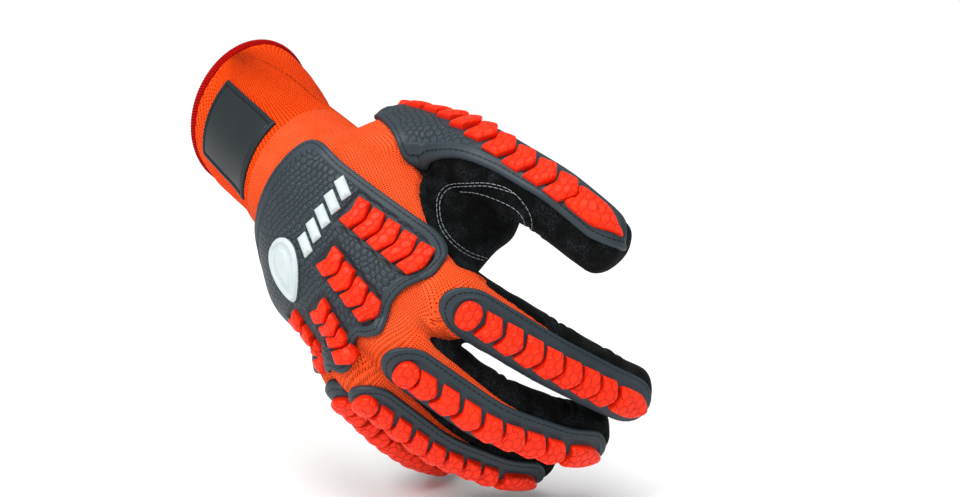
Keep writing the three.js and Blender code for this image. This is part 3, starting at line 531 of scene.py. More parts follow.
def suede_field(points, places):
    """How far inside the suede each point lies: more than 0 is suede."""
    x, y, z = points.T
    columns = np.array(list(SEAM_COLUMNS.values())) * HAND_WIDTH
    rows = np.array([row["y"] for row in PALM_SEAM]) * HAND_LENGTH
    heights = np.array([[row[name] for name in SEAM_COLUMNS] for row in PALM_SEAM]) * HAND_DEPTH
    by_row = np.stack([np.interp(x, columns, h) for h in heights], -1)
    place = np.clip(np.interp(y, rows, np.arange(len(rows))), 0, len(rows) - 1.001)
    low = place.astype(int)
    index = np.arange(len(x))
    seam = by_row[index, low] * (1 - (place - low)) + by_row[index, low + 1] * (place - low)
    field = np.minimum(np.minimum(seam - z, rows[-1] - y), y - rows[0])
    patch = closed_curve(np.array(CROTCH_PATCH) * HAND[:2], 1)
    inside, _ = to_outline(points[:, :2], patch)
    field = np.maximum(field, np.minimum(inside, CROTCH_TOP * HAND_DEPTH - z))
    for name, digit in DIGITS.items():
        s, angle, out, r = places[name]
        shares, angles = zip(*(THUMB_SEAM if name == "thumb" else DIGIT_SEAM))
        seam_angle = np.radians(np.interp(s / digit.length, shares, angles))
        wrap = np.minimum(r * (np.abs(angle) - seam_angle), s - 0.1 * digit.length)
        wrap = np.minimum(wrap, r + 2.6 - out)
        tip = np.minimum(s - (digit.to - SUEDE_TIP), r + 6 - out)
        field = np.maximum(field, np.maximum(wrap, tip))
    return field


SUEDE = relaxed(suede_field(SKIN, PLACES), SKIN_FACES, 6)

# %% [markdown]
# ## Folds
#
# Suede wrinkles on the inside of each joint and in the crotch of the thumb. Both cloths dip where they are
# sewn. A cloth simulation would fold more freely, but these folds stay the same on each run.

# %%
FOLD_DEPTH = 1.1


def waves(points, seed, lengths):
    """Even, smooth unevenness: a few plane waves in seeded directions."""
    rng = np.random.default_rng(seed)
    total = np.zeros(len(points))
    for length in lengths:
        for _ in range(5):
            way = unit(rng.normal(size=3))
            total += np.sin(points @ way * 2 * math.pi / length + rng.uniform(0, 6.3)) / len(lengths) / 2.4
    return total


def fold_heights():
    height = np.zeros(len(SKIN))
    for k, (name, digit) in enumerate(DIGITS.items()):
        s, angle, out, r = PLACES[name]
        mine = (OWNER == k) & (out < r + 3)
        front = smooth(0.9, 2.2, np.abs(angle))
        joints = np.cumsum(digit.row["bones"][:2])
        for j, joint in enumerate(joints):
            for shift, depth in ((-3.6, 0.7), (0.4, 1.0), (4.4, 0.6)):
                wander = 1.1 * np.sin(2.1 * angle + 1.7 * j + shift) + 0.5 * np.sin(5 * angle + joint)
                height -= mine * front * FOLD_DEPTH * depth * np.exp(-(((s - joint - shift
                    - wander) / 1.0) ** 2))
                height += mine * front * FOLD_DEPTH * 0.5 * depth * np.exp(-(((s - joint - shift - wander
                    - 2) / 1.2) ** 2))
    soft = waves(SKIN, 3, (34, 19, 11))
    return height + 0.55 * soft * smooth(0, 6, SUEDE) + 0.2 * soft


def sewn(field):
    """Both cloths dip into the seam, and the suede swells beside it."""
    dip = -0.6 * np.exp(-((field / 0.75) ** 2))
    return dip + 0.35 * smooth(0.3, 1.6, field) + 0.12 * np.exp(-(((field + 1.7) / 0.9) ** 2))


SKIN_HEIGHT = relaxed(fold_heights(), SKIN_FACES, 1) + sewn(SUEDE)
CLOTH = SKIN + SKIN_NORMALS * SKIN_HEIGHT[:, None]
CLOTH_TREE = BVHTree.FromPolygons([Vector(p) for p in CLOTH],
    [tuple(int(i) for i in t) for t in SKIN_FACES])

# %% [markdown]
# ## Cutting the skin into its cloths
#
# A real glove is sewn from sheets that meet at a seam. Here one skin is cut along the line where a field of
# numbers changes sign. A boolean would do it too, but it would leave small steps along a curved seam.


# %%
def keep_side(points, triangles, field, values):
    """The part of a mesh where a field is above 0, cut exactly along its zero line."""
    field = np.where(np.abs(field) < 1e-4, 1e-4, field)
    inside = field > 0
    count = inside[triangles].sum(1)
    kept = triangles[count == 3].tolist()
    extra_a, extra_b, extra_t = [], [], []
    known = {}

    def crossing(a, b):
        key = (min(a, b), max(a, b))
        if key not in known:
            known[key] = len(points) + len(extra_a)
            extra_a.append(key[0])
            extra_b.append(key[1])
            extra_t.append(field[key[0]] / (field[key[0]] - field[key[1]]))
        return known[key]

    for tri in triangles[(count == 1) | (count == 2)].tolist():
        corners = []
        for a, b in zip(tri, tri[1:] + tri[:1]):
            if inside[a]:
                corners.append(a)
            if inside[a] != inside[b]:
                corners.append(crossing(a, b))
        kept += [(corners[0], corners[k], corners[k + 1]) for k in range(1, len(corners) - 1)]
    t = np.array(extra_t)

    def grown(v):
        part = t.reshape(-1, *[1] * (v.ndim - 1))
        return np.concatenate([v, v[extra_a] * (1 - part) + v[extra_b] * part])

    kept = np.array(kept)
    used, index = np.unique(kept, return_inverse=True)
    return grown(points)[used], index.reshape(-1, 3), {k: grown(v)[used] for k, v in values.items()}


# %% [markdown]
# ## Blender objects from arrays
#
# Every piece is computed as arrays of points first. One function makes the mesh, keeps the numbers that its
# material needs as attributes, and hides the frame's solids that the piece replaces.


# %%
def linear(text):
    """A hex colour as linear light."""
    parts = [int(text[k:k + 2], 16) / 255 for k in (1, 3, 5)]
    return (*[p / 12.92 if p <= 0.04045 else ((p + 0.055) / 1.055) ** 2.4 for p in parts], 1)


def add_piece(name, points, faces, values, material, replaces=(), flat=False):
    """A mesh in the frame's attitude, with its values as named attributes."""
    mesh = bpy.data.meshes.new(name)
    mesh.from_pydata([], [], [])
    turned = (np.asarray(points) @ TURN.T) * 0.001
    faces = [tuple(int(i) for i in f) for f in faces]
    mesh.from_pydata(turned.tolist(), [], faces)
    mesh.validate()
    for key, value in values.items():
        kind = "FLOAT_VECTOR" if value.ndim == 2 else "FLOAT"
        layer = mesh.attributes.new(key, kind, "POINT")
        if value.ndim == 2:
            layer.data.foreach_set("vector", value.astype(np.float32).ravel())
        else:
            layer.data.foreach_set("value", value.astype(np.float32))
    if not flat:
        mesh.shade_smooth()
    obj = bpy.data.objects.new(name, mesh)
    bpy.context.scene.collection.objects.link(obj)
    obj.data.materials.append(material)
    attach(obj, "root")
    if replaces:
        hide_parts(*replaces)
    return obj


# %% [markdown]
# ## Materials
#
# Orange polyester knit, black split suede, moulded thermoplastic rubber in grey, red and white, red overlock
# thread and white sewing thread. None is a metal, so roughness and small bumps carry the difference: the
# cloths are matt, and the rubber has a soft, wide highlight. The patterns are nodes, not images. The knit's
# loops (1 mm on the hand, 2 mm on the cuff) and the suede's nap are drawn coarse enough to show in the
# picture.


# %%
class Shader:
    """A node tree with a short way to add a node: values are set, sockets are linked."""

    def __init__(self, name):
        self.material = bpy.data.materials.new(name)
        self.material.use_nodes = True
        self.tree = self.material.node_tree
        self.surface = self.tree.nodes["Principled BSDF"]
        self.place = self.tree.nodes.new("ShaderNodeTexCoord").outputs["Object"]

    def add(self, kind, inputs=(), **settings):
        if kind in ("ShaderNodeTexNoise", "ShaderNodeTexVoronoi"):
            inputs = {"Vector": self.place, **dict(inputs)}
        node = self.tree.nodes.new(kind)
        for key, value in settings.items():
            setattr(node, key, value)
        for key, value in dict(inputs).items():
            if isinstance(value, bpy.types.NodeSocket):
                self.tree.links.new(value, node.inputs[key])
            else:
                node.inputs[key].default_value = value
        return node

    def math(self, operation, a, b=0.0, c=0.0):
        return self.add("ShaderNodeMath", {0: a, 1: b, 2: c}, operation=operation).outputs[0]

    def attribute(self, name):
        return self.add("ShaderNodeAttribute", attribute_name=name)

    def mix(self, factor, a, b):
        node = self.add("ShaderNodeMix", data_type="RGBA")
        for key, value in ((0, factor), (6, a), (7, b)):
            if isinstance(value, bpy.types.NodeSocket):
                self.tree.links.new(value, node.inputs[key])
            else:
                node.inputs[key].default_value = value
        return node.outputs[2]

    def step(self, value, low, high):
        return self.add("ShaderNodeMapRange", {0: value, 1: low, 2: high},
            interpolation_type="SMOOTHSTEP").outputs[0]

    def set(self, **inputs):
        for key, value in inputs.items():
            socket = self.surface.inputs[key.replace("_", " ")]
            if isinstance(value, bpy.types.NodeSocket):
                self.tree.links.new(value, socket)
            else:
                socket.default_value = value

    def bump(self, height, distance, strength=1.0, below=None):
        inputs = {"Height": height, "Distance": distance, "Strength": strength}
        if below is not None:
            inputs["Normal"] = below
        return self.add("ShaderNodeBump", inputs).outputs[0]


def knit(name, across, along, light, shade_colours, open_share, depth):
    """Knitted yarn: columns of V stitches, with an opening beside each one. The hollows between the yarn and
    the openings get painted shade.
    """
    shader = Shader(name)
    weave = shader.add("ShaderNodeSeparateXYZ", {0: shader.attribute("weave").outputs["Vector"]})
    u = shader.math("DIVIDE", weave.outputs[0], across)
    v = shader.math("DIVIDE", weave.outputs[1], along)
    column = shader.math("ABSOLUTE", shader.math("SUBTRACT", shader.math("FRACT", u), 0.5))
    lean = shader.math("MULTIPLY_ADD", column, 1.5, v)
    leg = shader.math("SINE", shader.math("MULTIPLY", lean, 2 * math.pi))
    leg = shader.math("MULTIPLY_ADD", leg, 0.5, 0.5)
    inner = shader.step(column, 0.5, 0.5 - open_share)
    middle = shader.step(column, 0.0, 0.14)
    yarn = shader.math("MULTIPLY", shader.math("MULTIPLY_ADD", leg, 0.65, 0.35),
        shader.math("MULTIPLY_ADD", middle, 0.3, 0.7))
    opening = shader.math("MULTIPLY", shader.math("SUBTRACT", 1.0, inner),
        shader.math("SUBTRACT", 1.0, leg))
    height = shader.math("SUBTRACT", yarn, shader.math("MULTIPLY", opening, 1.2))
    patchy = shader.add("ShaderNodeTexNoise", {"Scale": 90.0, "Detail": 3.0}).outputs[0]
    fibre = shader.add("ShaderNodeTexNoise", {"Scale": 2600.0, "Detail": 2.0}).outputs[0]
    tint = shader.mix(shader.math("MULTIPLY", shader.math("SUBTRACT", patchy, 0.35), 0.9),
        linear(light[0]), linear(light[1]))
    # Painted shade: darker orange between the yarn's legs, dark red in the openings.
    tint = shader.mix(shader.math("MULTIPLY", shader.math("SUBTRACT", 1.0, yarn), 0.55), tint,
        linear(shade_colours[0]))
    tint = shader.mix(shader.step(opening, 0.3, 0.75), tint, linear(shade_colours[1]))
    bump = shader.bump(height, depth)
    shader.set(
        Base_Color=tint, Roughness=0.85, Specular_IOR_Level=0.05,
        Normal=shader.bump(fibre, 0.00006, 0.6, bump),
    )
    return shader.material


def make_suede():
    shader = Shader("black_suede")
    nap = shader.add("ShaderNodeTexNoise", {"Scale": 1500.0, "Detail": 4.0, "Roughness": 0.7}).outputs[0]
    brushed = shader.add("ShaderNodeTexNoise", {"Scale": 110.0, "Detail": 5.0,
        "Roughness": 0.65}).outputs[0]
    # Lighter mottled patches: partly the nap's own tone, partly a painted sheen of the brushed suede.
    light = shader.math("MULTIPLY", shader.step(nap, 0.42, 0.7), shader.step(brushed, 0.4, 0.66))
    tint = shader.mix(light, linear("#020303"), linear("#2b3034"))
    bump = shader.bump(brushed, 0.0006, 0.5)
    shader.set(
        Base_Color=tint, Roughness=0.9, Specular_IOR_Level=0.1, Sheen_Weight=0.02, Sheen_Roughness=0.4,
        Sheen_Tint=linear("#8090a8"), Normal=shader.bump(nap, 0.00025, 0.9, bump),
    )
    return shader.material


def stitch_marks(shader, from_edge, pitch):
    """Moulded stitches: dashes at one distance from the edge."""
    edge = shader.attribute("edge").outputs["Fac"]
    arc = shader.attribute("arc").outputs["Fac"]
    line = shader.step(shader.math("ABSOLUTE", shader.math("SUBTRACT", edge, from_edge)), 0.26, 0.1)
    dash = shader.math("ABSOLUTE", shader.math("SUBTRACT",
        shader.math("FRACT", shader.math("DIVIDE", arc, pitch)), 0.5))
    return shader.math("MULTIPLY", line, shader.step(dash, 0.42, 0.34))


def cell_edges(shader, size, wobble):
    """Distance to the edges of uneven hexagonal cells, drawn on the flat pattern."""
    flat = shader.attribute("flat").outputs["Vector"]
    uneven = shader.add("ShaderNodeTexNoise", {"Vector": flat, "Scale": 0.34 / size,
        "Detail": 0.0}).outputs["Color"]
    parts = shader.add("ShaderNodeSeparateXYZ", {0: flat})
    offsets = shader.add("ShaderNodeSeparateColor", {0: uneven})
    x, y = (
        shader.math("MULTIPLY_ADD", offsets.outputs[k], wobble,
        shader.math("DIVIDE", parts.outputs[k], size))
        for k in (0, 1)
    )
    root = math.sqrt(3)
    y = shader.math("DIVIDE", y, root)
    near = []
    for half in (0.0, 0.5):
        across = shader.math("SUBTRACT", shader.math("FRACT", shader.math("ADD", x, half)), 0.5)
        along = shader.math("SUBTRACT", shader.math("FRACT", shader.math("ADD", y, half)), 0.5)
        across = shader.math("ABSOLUTE", across)
        along = shader.math("MULTIPLY", shader.math("ABSOLUTE", along), root)
        slant = shader.math("MULTIPLY_ADD", across, 0.5, shader.math("MULTIPLY", along, root / 2))
        near.append(shader.math("SUBTRACT", 0.5, shader.math("MAXIMUM", across, slant)))
    return shader.math("MAXIMUM", near[0], near[1])


def make_rubber(name, low, high):
    shader = Shader(name)
    cells = shader.attribute("cells").outputs["Fac"]
    near = cell_edges(shader, 2.9, 1.3)
    groove = shader.math("MULTIPLY", shader.step(near, 0.08, 0.025), cells)
    crown = shader.math("MULTIPLY", shader.step(near, 0.0, 0.25), cells)
    marks = stitch_marks(shader, 2.0, 2.3)
    fine = shader.add("ShaderNodeTexNoise", {"Scale": 900.0, "Detail": 3.0}).outputs[0]
    worn = shader.add("ShaderNodeTexNoise", {"Scale": 60.0, "Detail": 3.0}).outputs[0]
    tint = shader.mix(worn, linear(low), linear(high))
    # Painted shade: the grooves between the cells are darkened.
    tint = shader.mix(shader.math("MULTIPLY", groove, 0.85), tint, linear("#0c1013"))
    tint = shader.mix(shader.math("MULTIPLY", marks, 0.85), tint, linear("#0a0c0e"))
    # Painted shade: the sunken bed of each row of pads (deep) is darkened.
    tint = shader.mix(shader.attribute("deep").outputs["Fac"], tint, linear("#1b1f24"))
    height = shader.math("SUBTRACT", shader.math("MULTIPLY", crown, 0.8),
        shader.math("MULTIPLY", marks, 0.9))
    bump = shader.bump(height, 0.0004)
    shader.set(
        Base_Color=tint, Roughness=0.48, Specular_IOR_Level=0.25,
        Normal=shader.bump(fine, 0.00003, 0.7, bump),
    )
    return shader.material


def make_pads():
    shader = Shader("red_rubber")
    near = cell_edges(shader, 3.7, 1.1)
    groove = shader.step(near, 0.075, 0.02)
    crown = shader.step(near, 0.0, 0.2)
    top = shader.attribute("top").outputs["Fac"]
    groove = shader.math("MULTIPLY", groove, top)
    patchy = shader.add("ShaderNodeTexNoise", {"Scale": 120.0, "Detail": 2.0}).outputs[0]
    tint = shader.mix(patchy, linear("#ef2408"), linear("#fb3410"))
    # Painted shade in the grooves between the cells, on the top faces.
    tint = shader.mix(shader.math("MULTIPLY", groove, 0.6), tint, linear("#a31205"))
    # Painted shade: the sides and front walls, below the top faces, are darker red.
    tint = shader.mix(shader.math("MULTIPLY", shader.step(top, 0.5, 0.0), 0.6), tint, linear("#b41405"))
    fine = shader.add("ShaderNodeTexNoise", {"Scale": 1200.0, "Detail": 2.0}).outputs[0]
    bump = shader.bump(shader.math("MULTIPLY", crown, top), 0.00045)
    shader.set(Base_Color=tint, Roughness=0.4, Specular_IOR_Level=0.13,
        Normal=shader.bump(fine, 0.00002, 0.6, bump))
    return shader.material


def make_plain(name, low, high, roughness, grain, depth):
    shader = Shader(name)
    patchy = shader.add("ShaderNodeTexNoise", {"Scale": 150.0, "Detail": 3.0}).outputs[0]
    fine = shader.add("ShaderNodeTexNoise", {"Scale": grain, "Detail": 3.0}).outputs[0]
    shader.set(Base_Color=shader.mix(patchy, linear(low), linear(high)), Roughness=roughness,
        Normal=shader.bump(fine, depth, 0.7))
    return shader.material


def make_hem():
    """Overlocked edge: thread wound closely over the cloth."""
    shader = Shader("red_overlock")
    arc = shader.attribute("arc").outputs["Fac"]
    edge = shader.attribute("edge").outputs["Fac"]
    wound = shader.math("SINE", shader.math("MULTIPLY", shader.math("MULTIPLY_ADD", edge, 0.35, arc),
        2 * math.pi / 1.25))
    wound = shader.math("MULTIPLY_ADD", wound, 0.5, 0.5)
    fibre = shader.add("ShaderNodeTexNoise", {"Scale": 1800.0, "Detail": 3.0}).outputs[0]
    # Painted shade: darker red in the hollows between the turns of thread, lighter on their ridges.
    tint = shader.mix(wound, linear("#700101"), linear("#b60402"))
    bump = shader.bump(wound, 0.0004)
    shader.set(Base_Color=tint, Roughness=0.8, Specular_IOR_Level=0.06,
        Normal=shader.bump(fibre, 0.0001, 0.6, bump))
    return shader.material


MATERIALS = {
    # Each knit's second pair of colours is painted shade, for the hollows between the yarn and for the
    # openings.
    "back_knit": knit("orange_knit", 1.12, 0.95, ("#ff5a28", "#ff764a"), ("#ff4412", "#b01e08"), 0.21,
    0.0005),
    "cuff_knit": knit("orange_rib", 2.2, 1.5, ("#ff4a0a", "#ff601c"), ("#ff3a06", "#b21e02"), 0.29, 0.0008),
    "suede": make_suede(),
    "rubber": make_rubber("grey_rubber", "#212c32", "#2d3940"),
    "label": make_rubber("dark_rubber", "#12191c", "#1c2428"),
    "pads": make_pads(),
    "white": make_plain("white_rubber", "#a9b4b6", "#bcc5c6", 0.5, 900.0, 0.00003),
    "hem": make_hem(),
    "thread": make_plain("white_thread", "#5f666b", "#8d9499", 0.8, 3000.0, 0.0001),
}

# %% [markdown]
# ## Cloth pieces
#
# The knitted back, the suede palm and the knitted cuff are three parts of the one skin. Solidify gives them
# the cloth's thickness inwards, so that their outer faces stay where the folds were laid.

# %%
HEM_FROM = CUFF_LENGTH - HEM_WIDTH - 0.6
WEAVE = np.stack([KNIT_U, KNIT_V, np.zeros(len(SKIN))], -1)
hand_side = WRIST_SEAM - CUFF_ALONG
values = {"weave": WEAVE, "field": SUEDE, "hand_side": hand_side, "cuff_end": HEM_FROM - CUFF_ALONG}


def thicken(piece, thickness):
    solid = piece.modifiers.new("wall", "SOLIDIFY")
    solid.thickness = thickness * 0.001
    solid.offset = -1


def cloth_piece(name, cuts, material, replaces):
    """A part of the skin, cut by one or more fields, with a cloth's thickness."""
    points, triangles, carried = CLOTH, SKIN_FACES, values
    for key, sign in cuts:
        points, triangles, carried = keep_side(points, triangles, sign * carried[key], carried)
    piece = add_piece(name, points, triangles, {"weave": carried["weave"]}, MATERIALS[material],
        replaces)
    thicken(piece, CLOTH_WALL)
    a, b, c = (points[triangles[:, k]] for k in range(3))
    area = np.linalg.norm(np.cross(b - a, c - a), axis=1).sum() / 2 * 1e-6
    print(name, len(triangles), "triangles", round(area, 4), "m2")


KNIT_NODES = [f"{name}_knit" for name in DIGITS]
LEATHER_NODES = [f"{name}_leather" for name in DIGITS]
cloth_piece("knit_back", [("field", -1), ("hand_side", 1)], "back_knit",
    ["back_knit"] + KNIT_NODES)
cloth_piece("suede_palm", [("field", 1), ("hand_side", 1)], "suede",
    ["palm_leather"] + LEATHER_NODES)
cloth_piece("knit_cuff", [("hand_side", -1), ("cuff_end", 1)], "cuff_knit",
    ["cuff_knit"])


def make_hem_piece():
    """A rounded band round the cuff's edge, with the ridges of its wound thread."""
    side, up = frame_across(-CUFF_LINE, CUFF_TWIST)
    turns = 480
    profile = []
    for k in range(16):
        a = 2 * math.pi * k / 16
        along = (HEM_WIDTH + 0.9) / 2 * (1 + np.sign(math.cos(a)) * abs(math.cos(a)) ** 0.7)
        out = -0.35 + 1.35 * np.sign(math.sin(a)) * abs(math.sin(a)) ** 0.8
        profile.append((along, out))
    points, edge, arc = [], [], []
    for t in range(turns):
        a = 2 * math.pi * t / turns
        for along, out in profile:
            ridge = 0.1 * math.sin(a * 160) * (1 if out > 0 else 0.3)
            share = (HEM_FROM - 0.2 + along) / CUFF_LENGTH
            swell = np.interp(share, [0.7, 0.94, 1.0, 1.2], [0.82, 0.97, 1.0, 1.08])
            half = [w + (h - w) * swell for w, h in zip(WRIST_HALF, HEM_HALF)]
            radial = np.array([half[0] + out + ridge, half[1] + out + ridge])
            points.append(CUFF_LINE * (HEM_FROM - 0.2 + along) + side * radial[0] * math.cos(a) + up
                * radial[1] * math.sin(a))
            edge.append(along)
            arc.append(a * 32)
    faces = []
    n = len(profile)
    for t in range(turns):
        for k in range(n):
            faces.append((t * n + k, t * n + (k + 1) % n, (t + 1) % turns * n + (k + 1) % n,
                (t + 1) % turns * n + k))
    return add_piece("cuff_edge", np.array(points), faces, {"edge": np.array(edge), "arc": np.array(arc)},
        MATERIALS["hem"], ["cuff_hem"])


make_hem_piece()

# %% [markdown]
# ## Laying things on the skin
#
# A place function turns two flat coordinates into points on the skin and the directions out of it.


# %%
def hit_skin(starts, ways, furthest=900.0, tree=SKIN_TREE):
    """Where rays meet the skin, and the smooth direction out of it there."""
    points = np.array(starts, float)
    normals = np.array(ways, float)
    found = np.zeros(len(points), bool)
    for k, (start, way) in enumerate(zip(starts, ways)):
        point, _, face, _ = tree.ray_cast(Vector(start), Vector(way), furthest)
        if point is None:
            continue
        points[k] = point
        normals[k] = SKIN_NORMALS[SKIN_FACES[face]].mean(0)
        found[k] = True
    return points, unit(normals), found


def near_skin(places):
    """The skin's nearest points to some places, and the smooth directions out of it there."""
    points = np.array(places, float)
    normals = np.zeros(points.shape)
    for k, place in enumerate(places):
        point, _, face, _ = SKIN_TREE.find_nearest(Vector(place))
        points[k] = point
        normals[k] = SKIN_NORMALS[SKIN_FACES[face]].mean(0)
    return points, unit(normals)


def over_digit(name):
    """Across and along a digit, from its centre line outwards."""
    digit = DIGITS[name]

    def place(flat):
        across, along = flat[:, 0], flat[:, 1]
        r = digit.at(digit.radius, np.clip(along, 0, digit.length))
        angle = across / (r + GUARD_GAP)
        up = unit(digit.at(digit.up, along))
        out = digit.side * np.sin(angle)[:, None] + up * np.cos(angle)[:, None]
        centre = digit.at(digit.centre, along)
        points, _, found = hit_skin(centre, out)
        far = np.linalg.norm(points - centre, axis=1) > r + 5
        wrong = far | ~found
        points[wrong] = (centre + out * (r[:, None] + 0.5))[wrong]
        return points, out

    return place


def over_thumb(flat):
    """Across and along the thumb: wrapped round its outer side, looked down on over its inner side."""
    digit = DIGITS["thumb"]
    across, along = flat[:, 0], flat[:, 1]
    up = unit(digit.at(digit.up, along))
    before = np.minimum(along - digit.s[0], 0)
    centre = digit.at(digit.centre, along) + before[:, None] * unit(digit.centre[1] - digit.centre[0])
    starts = centre + digit.side * np.maximum(across, 0)[:, None] + up * 28
    points, normals, found = hit_skin(starts, -up)
    r = digit.at(digit.radius, np.clip(along, 0, digit.length))
    round_side = np.sqrt(np.maximum(r**2 - across**2, 4))
    ways = unit(normals + 0.4 * up)
    root = (along < digit.s[0] + 2) | (~found & (across >= 0))
    points[root], ways[root] = near_skin((centre + digit.side * across[:, None] + up * round_side[:,
        None])[root])
    outer = (across < 0) & ~root
    angle = (across / (r + GUARD_GAP))[outer]
    ways[outer] = digit.side * np.sin(angle)[:, None] + up[outer] * np.cos(angle)[:, None]
    points[outer], _, found = hit_skin(centre[outer], ways[outer])
    far = np.linalg.norm(points[outer] - centre[outer], axis=1) > r[outer] + 5
    points[outer] = np.where((far | ~found)[:, None], centre[outer] + ways[outer] * (r[outer, None] + 0.5),
        points[outer])
    return points, ways


BEND_FROM = 18
BEND_RADIUS = 25


def over_back(flat):
    """x and y over the back of the hand, seen from above. They bend round the little finger's side."""
    x, y = flat.T
    zero = np.zeros(len(flat))
    down = np.tile([0, 0, -1.0], (len(flat), 1))
    starts = np.stack([np.minimum(x, BEND_FROM), y, zero + 90], -1)
    points, normals, _ = hit_skin(starts, down)
    past = x > BEND_FROM
    angle = (x[past] - BEND_FROM) / BEND_RADIUS
    pivots = points[past] - (0, 0, BEND_RADIUS)
    ways = np.stack([np.sin(angle), 0 * angle, np.cos(angle)], -1)
    points[past], normals[past], _ = hit_skin(pivots, ways)
    return points, normals


def over_cuff(flat):
    """Round and along the cuff's upper side."""
    side, up = frame_across(-CUFF_LINE, CUFF_TWIST * 0.8)
    starts = CUFF_LINE * flat[:, 1:] + side * (flat[:, :1] - 0.5) + up * 90
    points, normals, _ = hit_skin(starts, np.tile(-up, (len(flat), 1)))
    return points, normals


def plate(name, outline, place, height, material, replaces, spacing=1.0, rings=None, base=0.05,
    extra=None):
    """A moulded plate: a filled outline, laid on the skin at heights that follow from the edge."""
    outline = np.asarray(outline, float)
    rings = rings if rings is not None else [0.25, 0.6, 1.0, 1.4, 1.9, 2.4, 2.9, 3.4, 3.8, 4.2, 4.7]
    run = np.roll(outline, -1, axis=0) - np.roll(outline, 1, axis=0)
    area = np.sum(outline[:, 0] * np.roll(outline[:, 1], -1) - np.roll(outline[:, 0], -1) * outline[:, 1])
    inward = unit(np.stack([-run[:, 1], run[:, 0]], -1)) * (1 if area > 0 else -1)
    inner = [outline[::1 if d < 1.2 else 2] + inward[::1 if d < 1.2 else 2] * d for d in rings]
    inner = np.concatenate(inner)
    wanted = np.repeat(rings, [len(outline[::1 if d < 1.2 else 2]) for d in rings])
    distance, _ = to_outline(inner, outline)
    inner = inner[np.abs(distance - wanted) < 0.06]
    low, high = outline.min(0), outline.max(0)
    gx, gy = np.meshgrid(np.arange(low[0], high[0], spacing), np.arange(low[1], high[1], spacing * 0.87))
    gx[1::2] += spacing / 2
    grid = np.stack([gx.ravel(), gy.ravel()], -1)
    distance, _ = to_outline(grid, outline)
    grid = grid[distance > rings[-1] + 0.5 * spacing]
    flat = np.concatenate([outline, inner, grid])
    n = len(outline)
    verts, _, faces, *_ = delaunay_2d_cdt([Vector(p) for p in flat], [], [list(range(n))], 1, 1e-4)
    flat = np.array([tuple(v) for v in verts])
    edge, arc = to_outline(flat, outline)
    edge = np.maximum(edge, 0)
    rim, _ = to_outline(flat[:n], outline)
    assert len(flat) >= n and np.abs(rim).max() < 0.01
    points, ways = place(flat)
    h = height(edge, flat)
    top = points + ways * h[:, None]
    middle = points[:n] + ways[:n] * (0.55 * h[:n, None])
    bottom = points[:n] + ways[:n] * base
    all_points = np.concatenate([top, middle, bottom])
    faces = [tuple(f) for f in faces]
    m = len(top)
    for k in range(n):
        j = (k + 1) % n
        faces.append((j, k, m + k, m + j))
        faces.append((m + j, m + k, m + n + k, m + n + j))
    total = len(all_points)
    carried = {"edge": np.zeros(total), "arc": np.zeros(total), "cells": np.zeros(total),
        "deep": np.zeros(total), "top": np.zeros(total)}
    carried["edge"][:m] = edge
    carried["arc"][:m] = arc
    carried["arc"][m:] = np.tile(arc[:n], 2)
    carried["top"][:m] = smooth(0.1, 0.6, edge)
    carried["flat"] = np.zeros((total, 3))
    carried["flat"][:, :2] = np.concatenate([flat, flat[:n], flat[:n]])
    if extra is not None:
        for key, value in extra(edge, flat).items():
            carried[key][:m] = value
    faces = outward(all_points, faces, np.concatenate([ways, ways[:n], ways[:n]]))
    piece = add_piece(name, all_points, faces, carried, material, replaces)
    print(name, len(faces), "faces")
    return piece


def outward(points, faces, ways):
    """Turns all the faces over if the first ones, on top, look inwards."""
    a, b, c = (points[faces[0][k]] for k in range(3))
    if np.dot(np.cross(b - a, c - a), ways[faces[0][0]]) < 0:
        return [tuple(reversed(f)) for f in faces]
    return faces


# %% [markdown]
# ## Guards
#
# Grey rubber plates with a rounded lip, a sewn border and a lower field inside a ridge. Each starts as a flat
# outline that is filled with points and then bent onto the skin. Extruding the outline would be quicker, but
# the plate would not follow the hand. In the thumb's table a row is a place along the thumb, and the plate's
# half widths to the outer and the inner side.

# %%
RIDGE_AT = 3.7


def border_height(edge):
    """A guard's profile from its edge: rounded lip, flat band, ridge, and a lower field."""
    lip = GUARD_GAP + GUARD_THICKNESS * (0.5 + 0.5 * smooth(0, 0.6, edge))
    groove = -0.14 * np.exp(-(((edge - 3.1) / 0.3) ** 2)) - 0.12 * np.exp(-(((edge - 1.0) / 0.25) ** 2))
    ridge = 0.2 * np.exp(-(((edge - RIDGE_AT) / 0.4) ** 2))
    field = -0.4 * smooth(RIDGE_AT + 0.2, RIDGE_AT + 0.9, edge)
    return lip + groove + ridge + field


GUARD_SHARE = 0.82
PAD_ROWS = {
    "index": {"guard": (0.4, 97.5), "dome": 8.9, "first": 9.1, "last": 71.5, "count": 8,
    "tip": (75.6, 95.4)},
    "middle": {"guard": (2.9, 105), "dome": 11.7, "first": 9.7, "last": 77.3, "count": 8,
    "tip": (82, 102.6)},
    "ring": {"guard": (4.2, 97.4), "dome": 10.6, "first": 10.1, "last": 70.2, "count": 8,
    "tip": (74.5, 95)},
    "little": {"guard": (0.8, 83.4), "dome": 8.6, "first": 8.4, "last": 62, "count": 8, "tip": (65.8, 81)},
    "thumb": {"dome": -7, "first": -7, "last": 84.4, "count": 10, "tip": (86.6, 112.8)},
}
PAD_WIDTH = 11.4


def dense(points, step=0.5):
    """A closed outline with straight sides, in steps of about one length."""
    out = []
    points = np.asarray(points, float)
    for a, b in zip(points, np.roll(points, -1, axis=0)):
        count = max(1, int(np.linalg.norm(b - a) / step))
        out += [a + (b - a) * k / count for k in range(count)]
    return np.array(out)


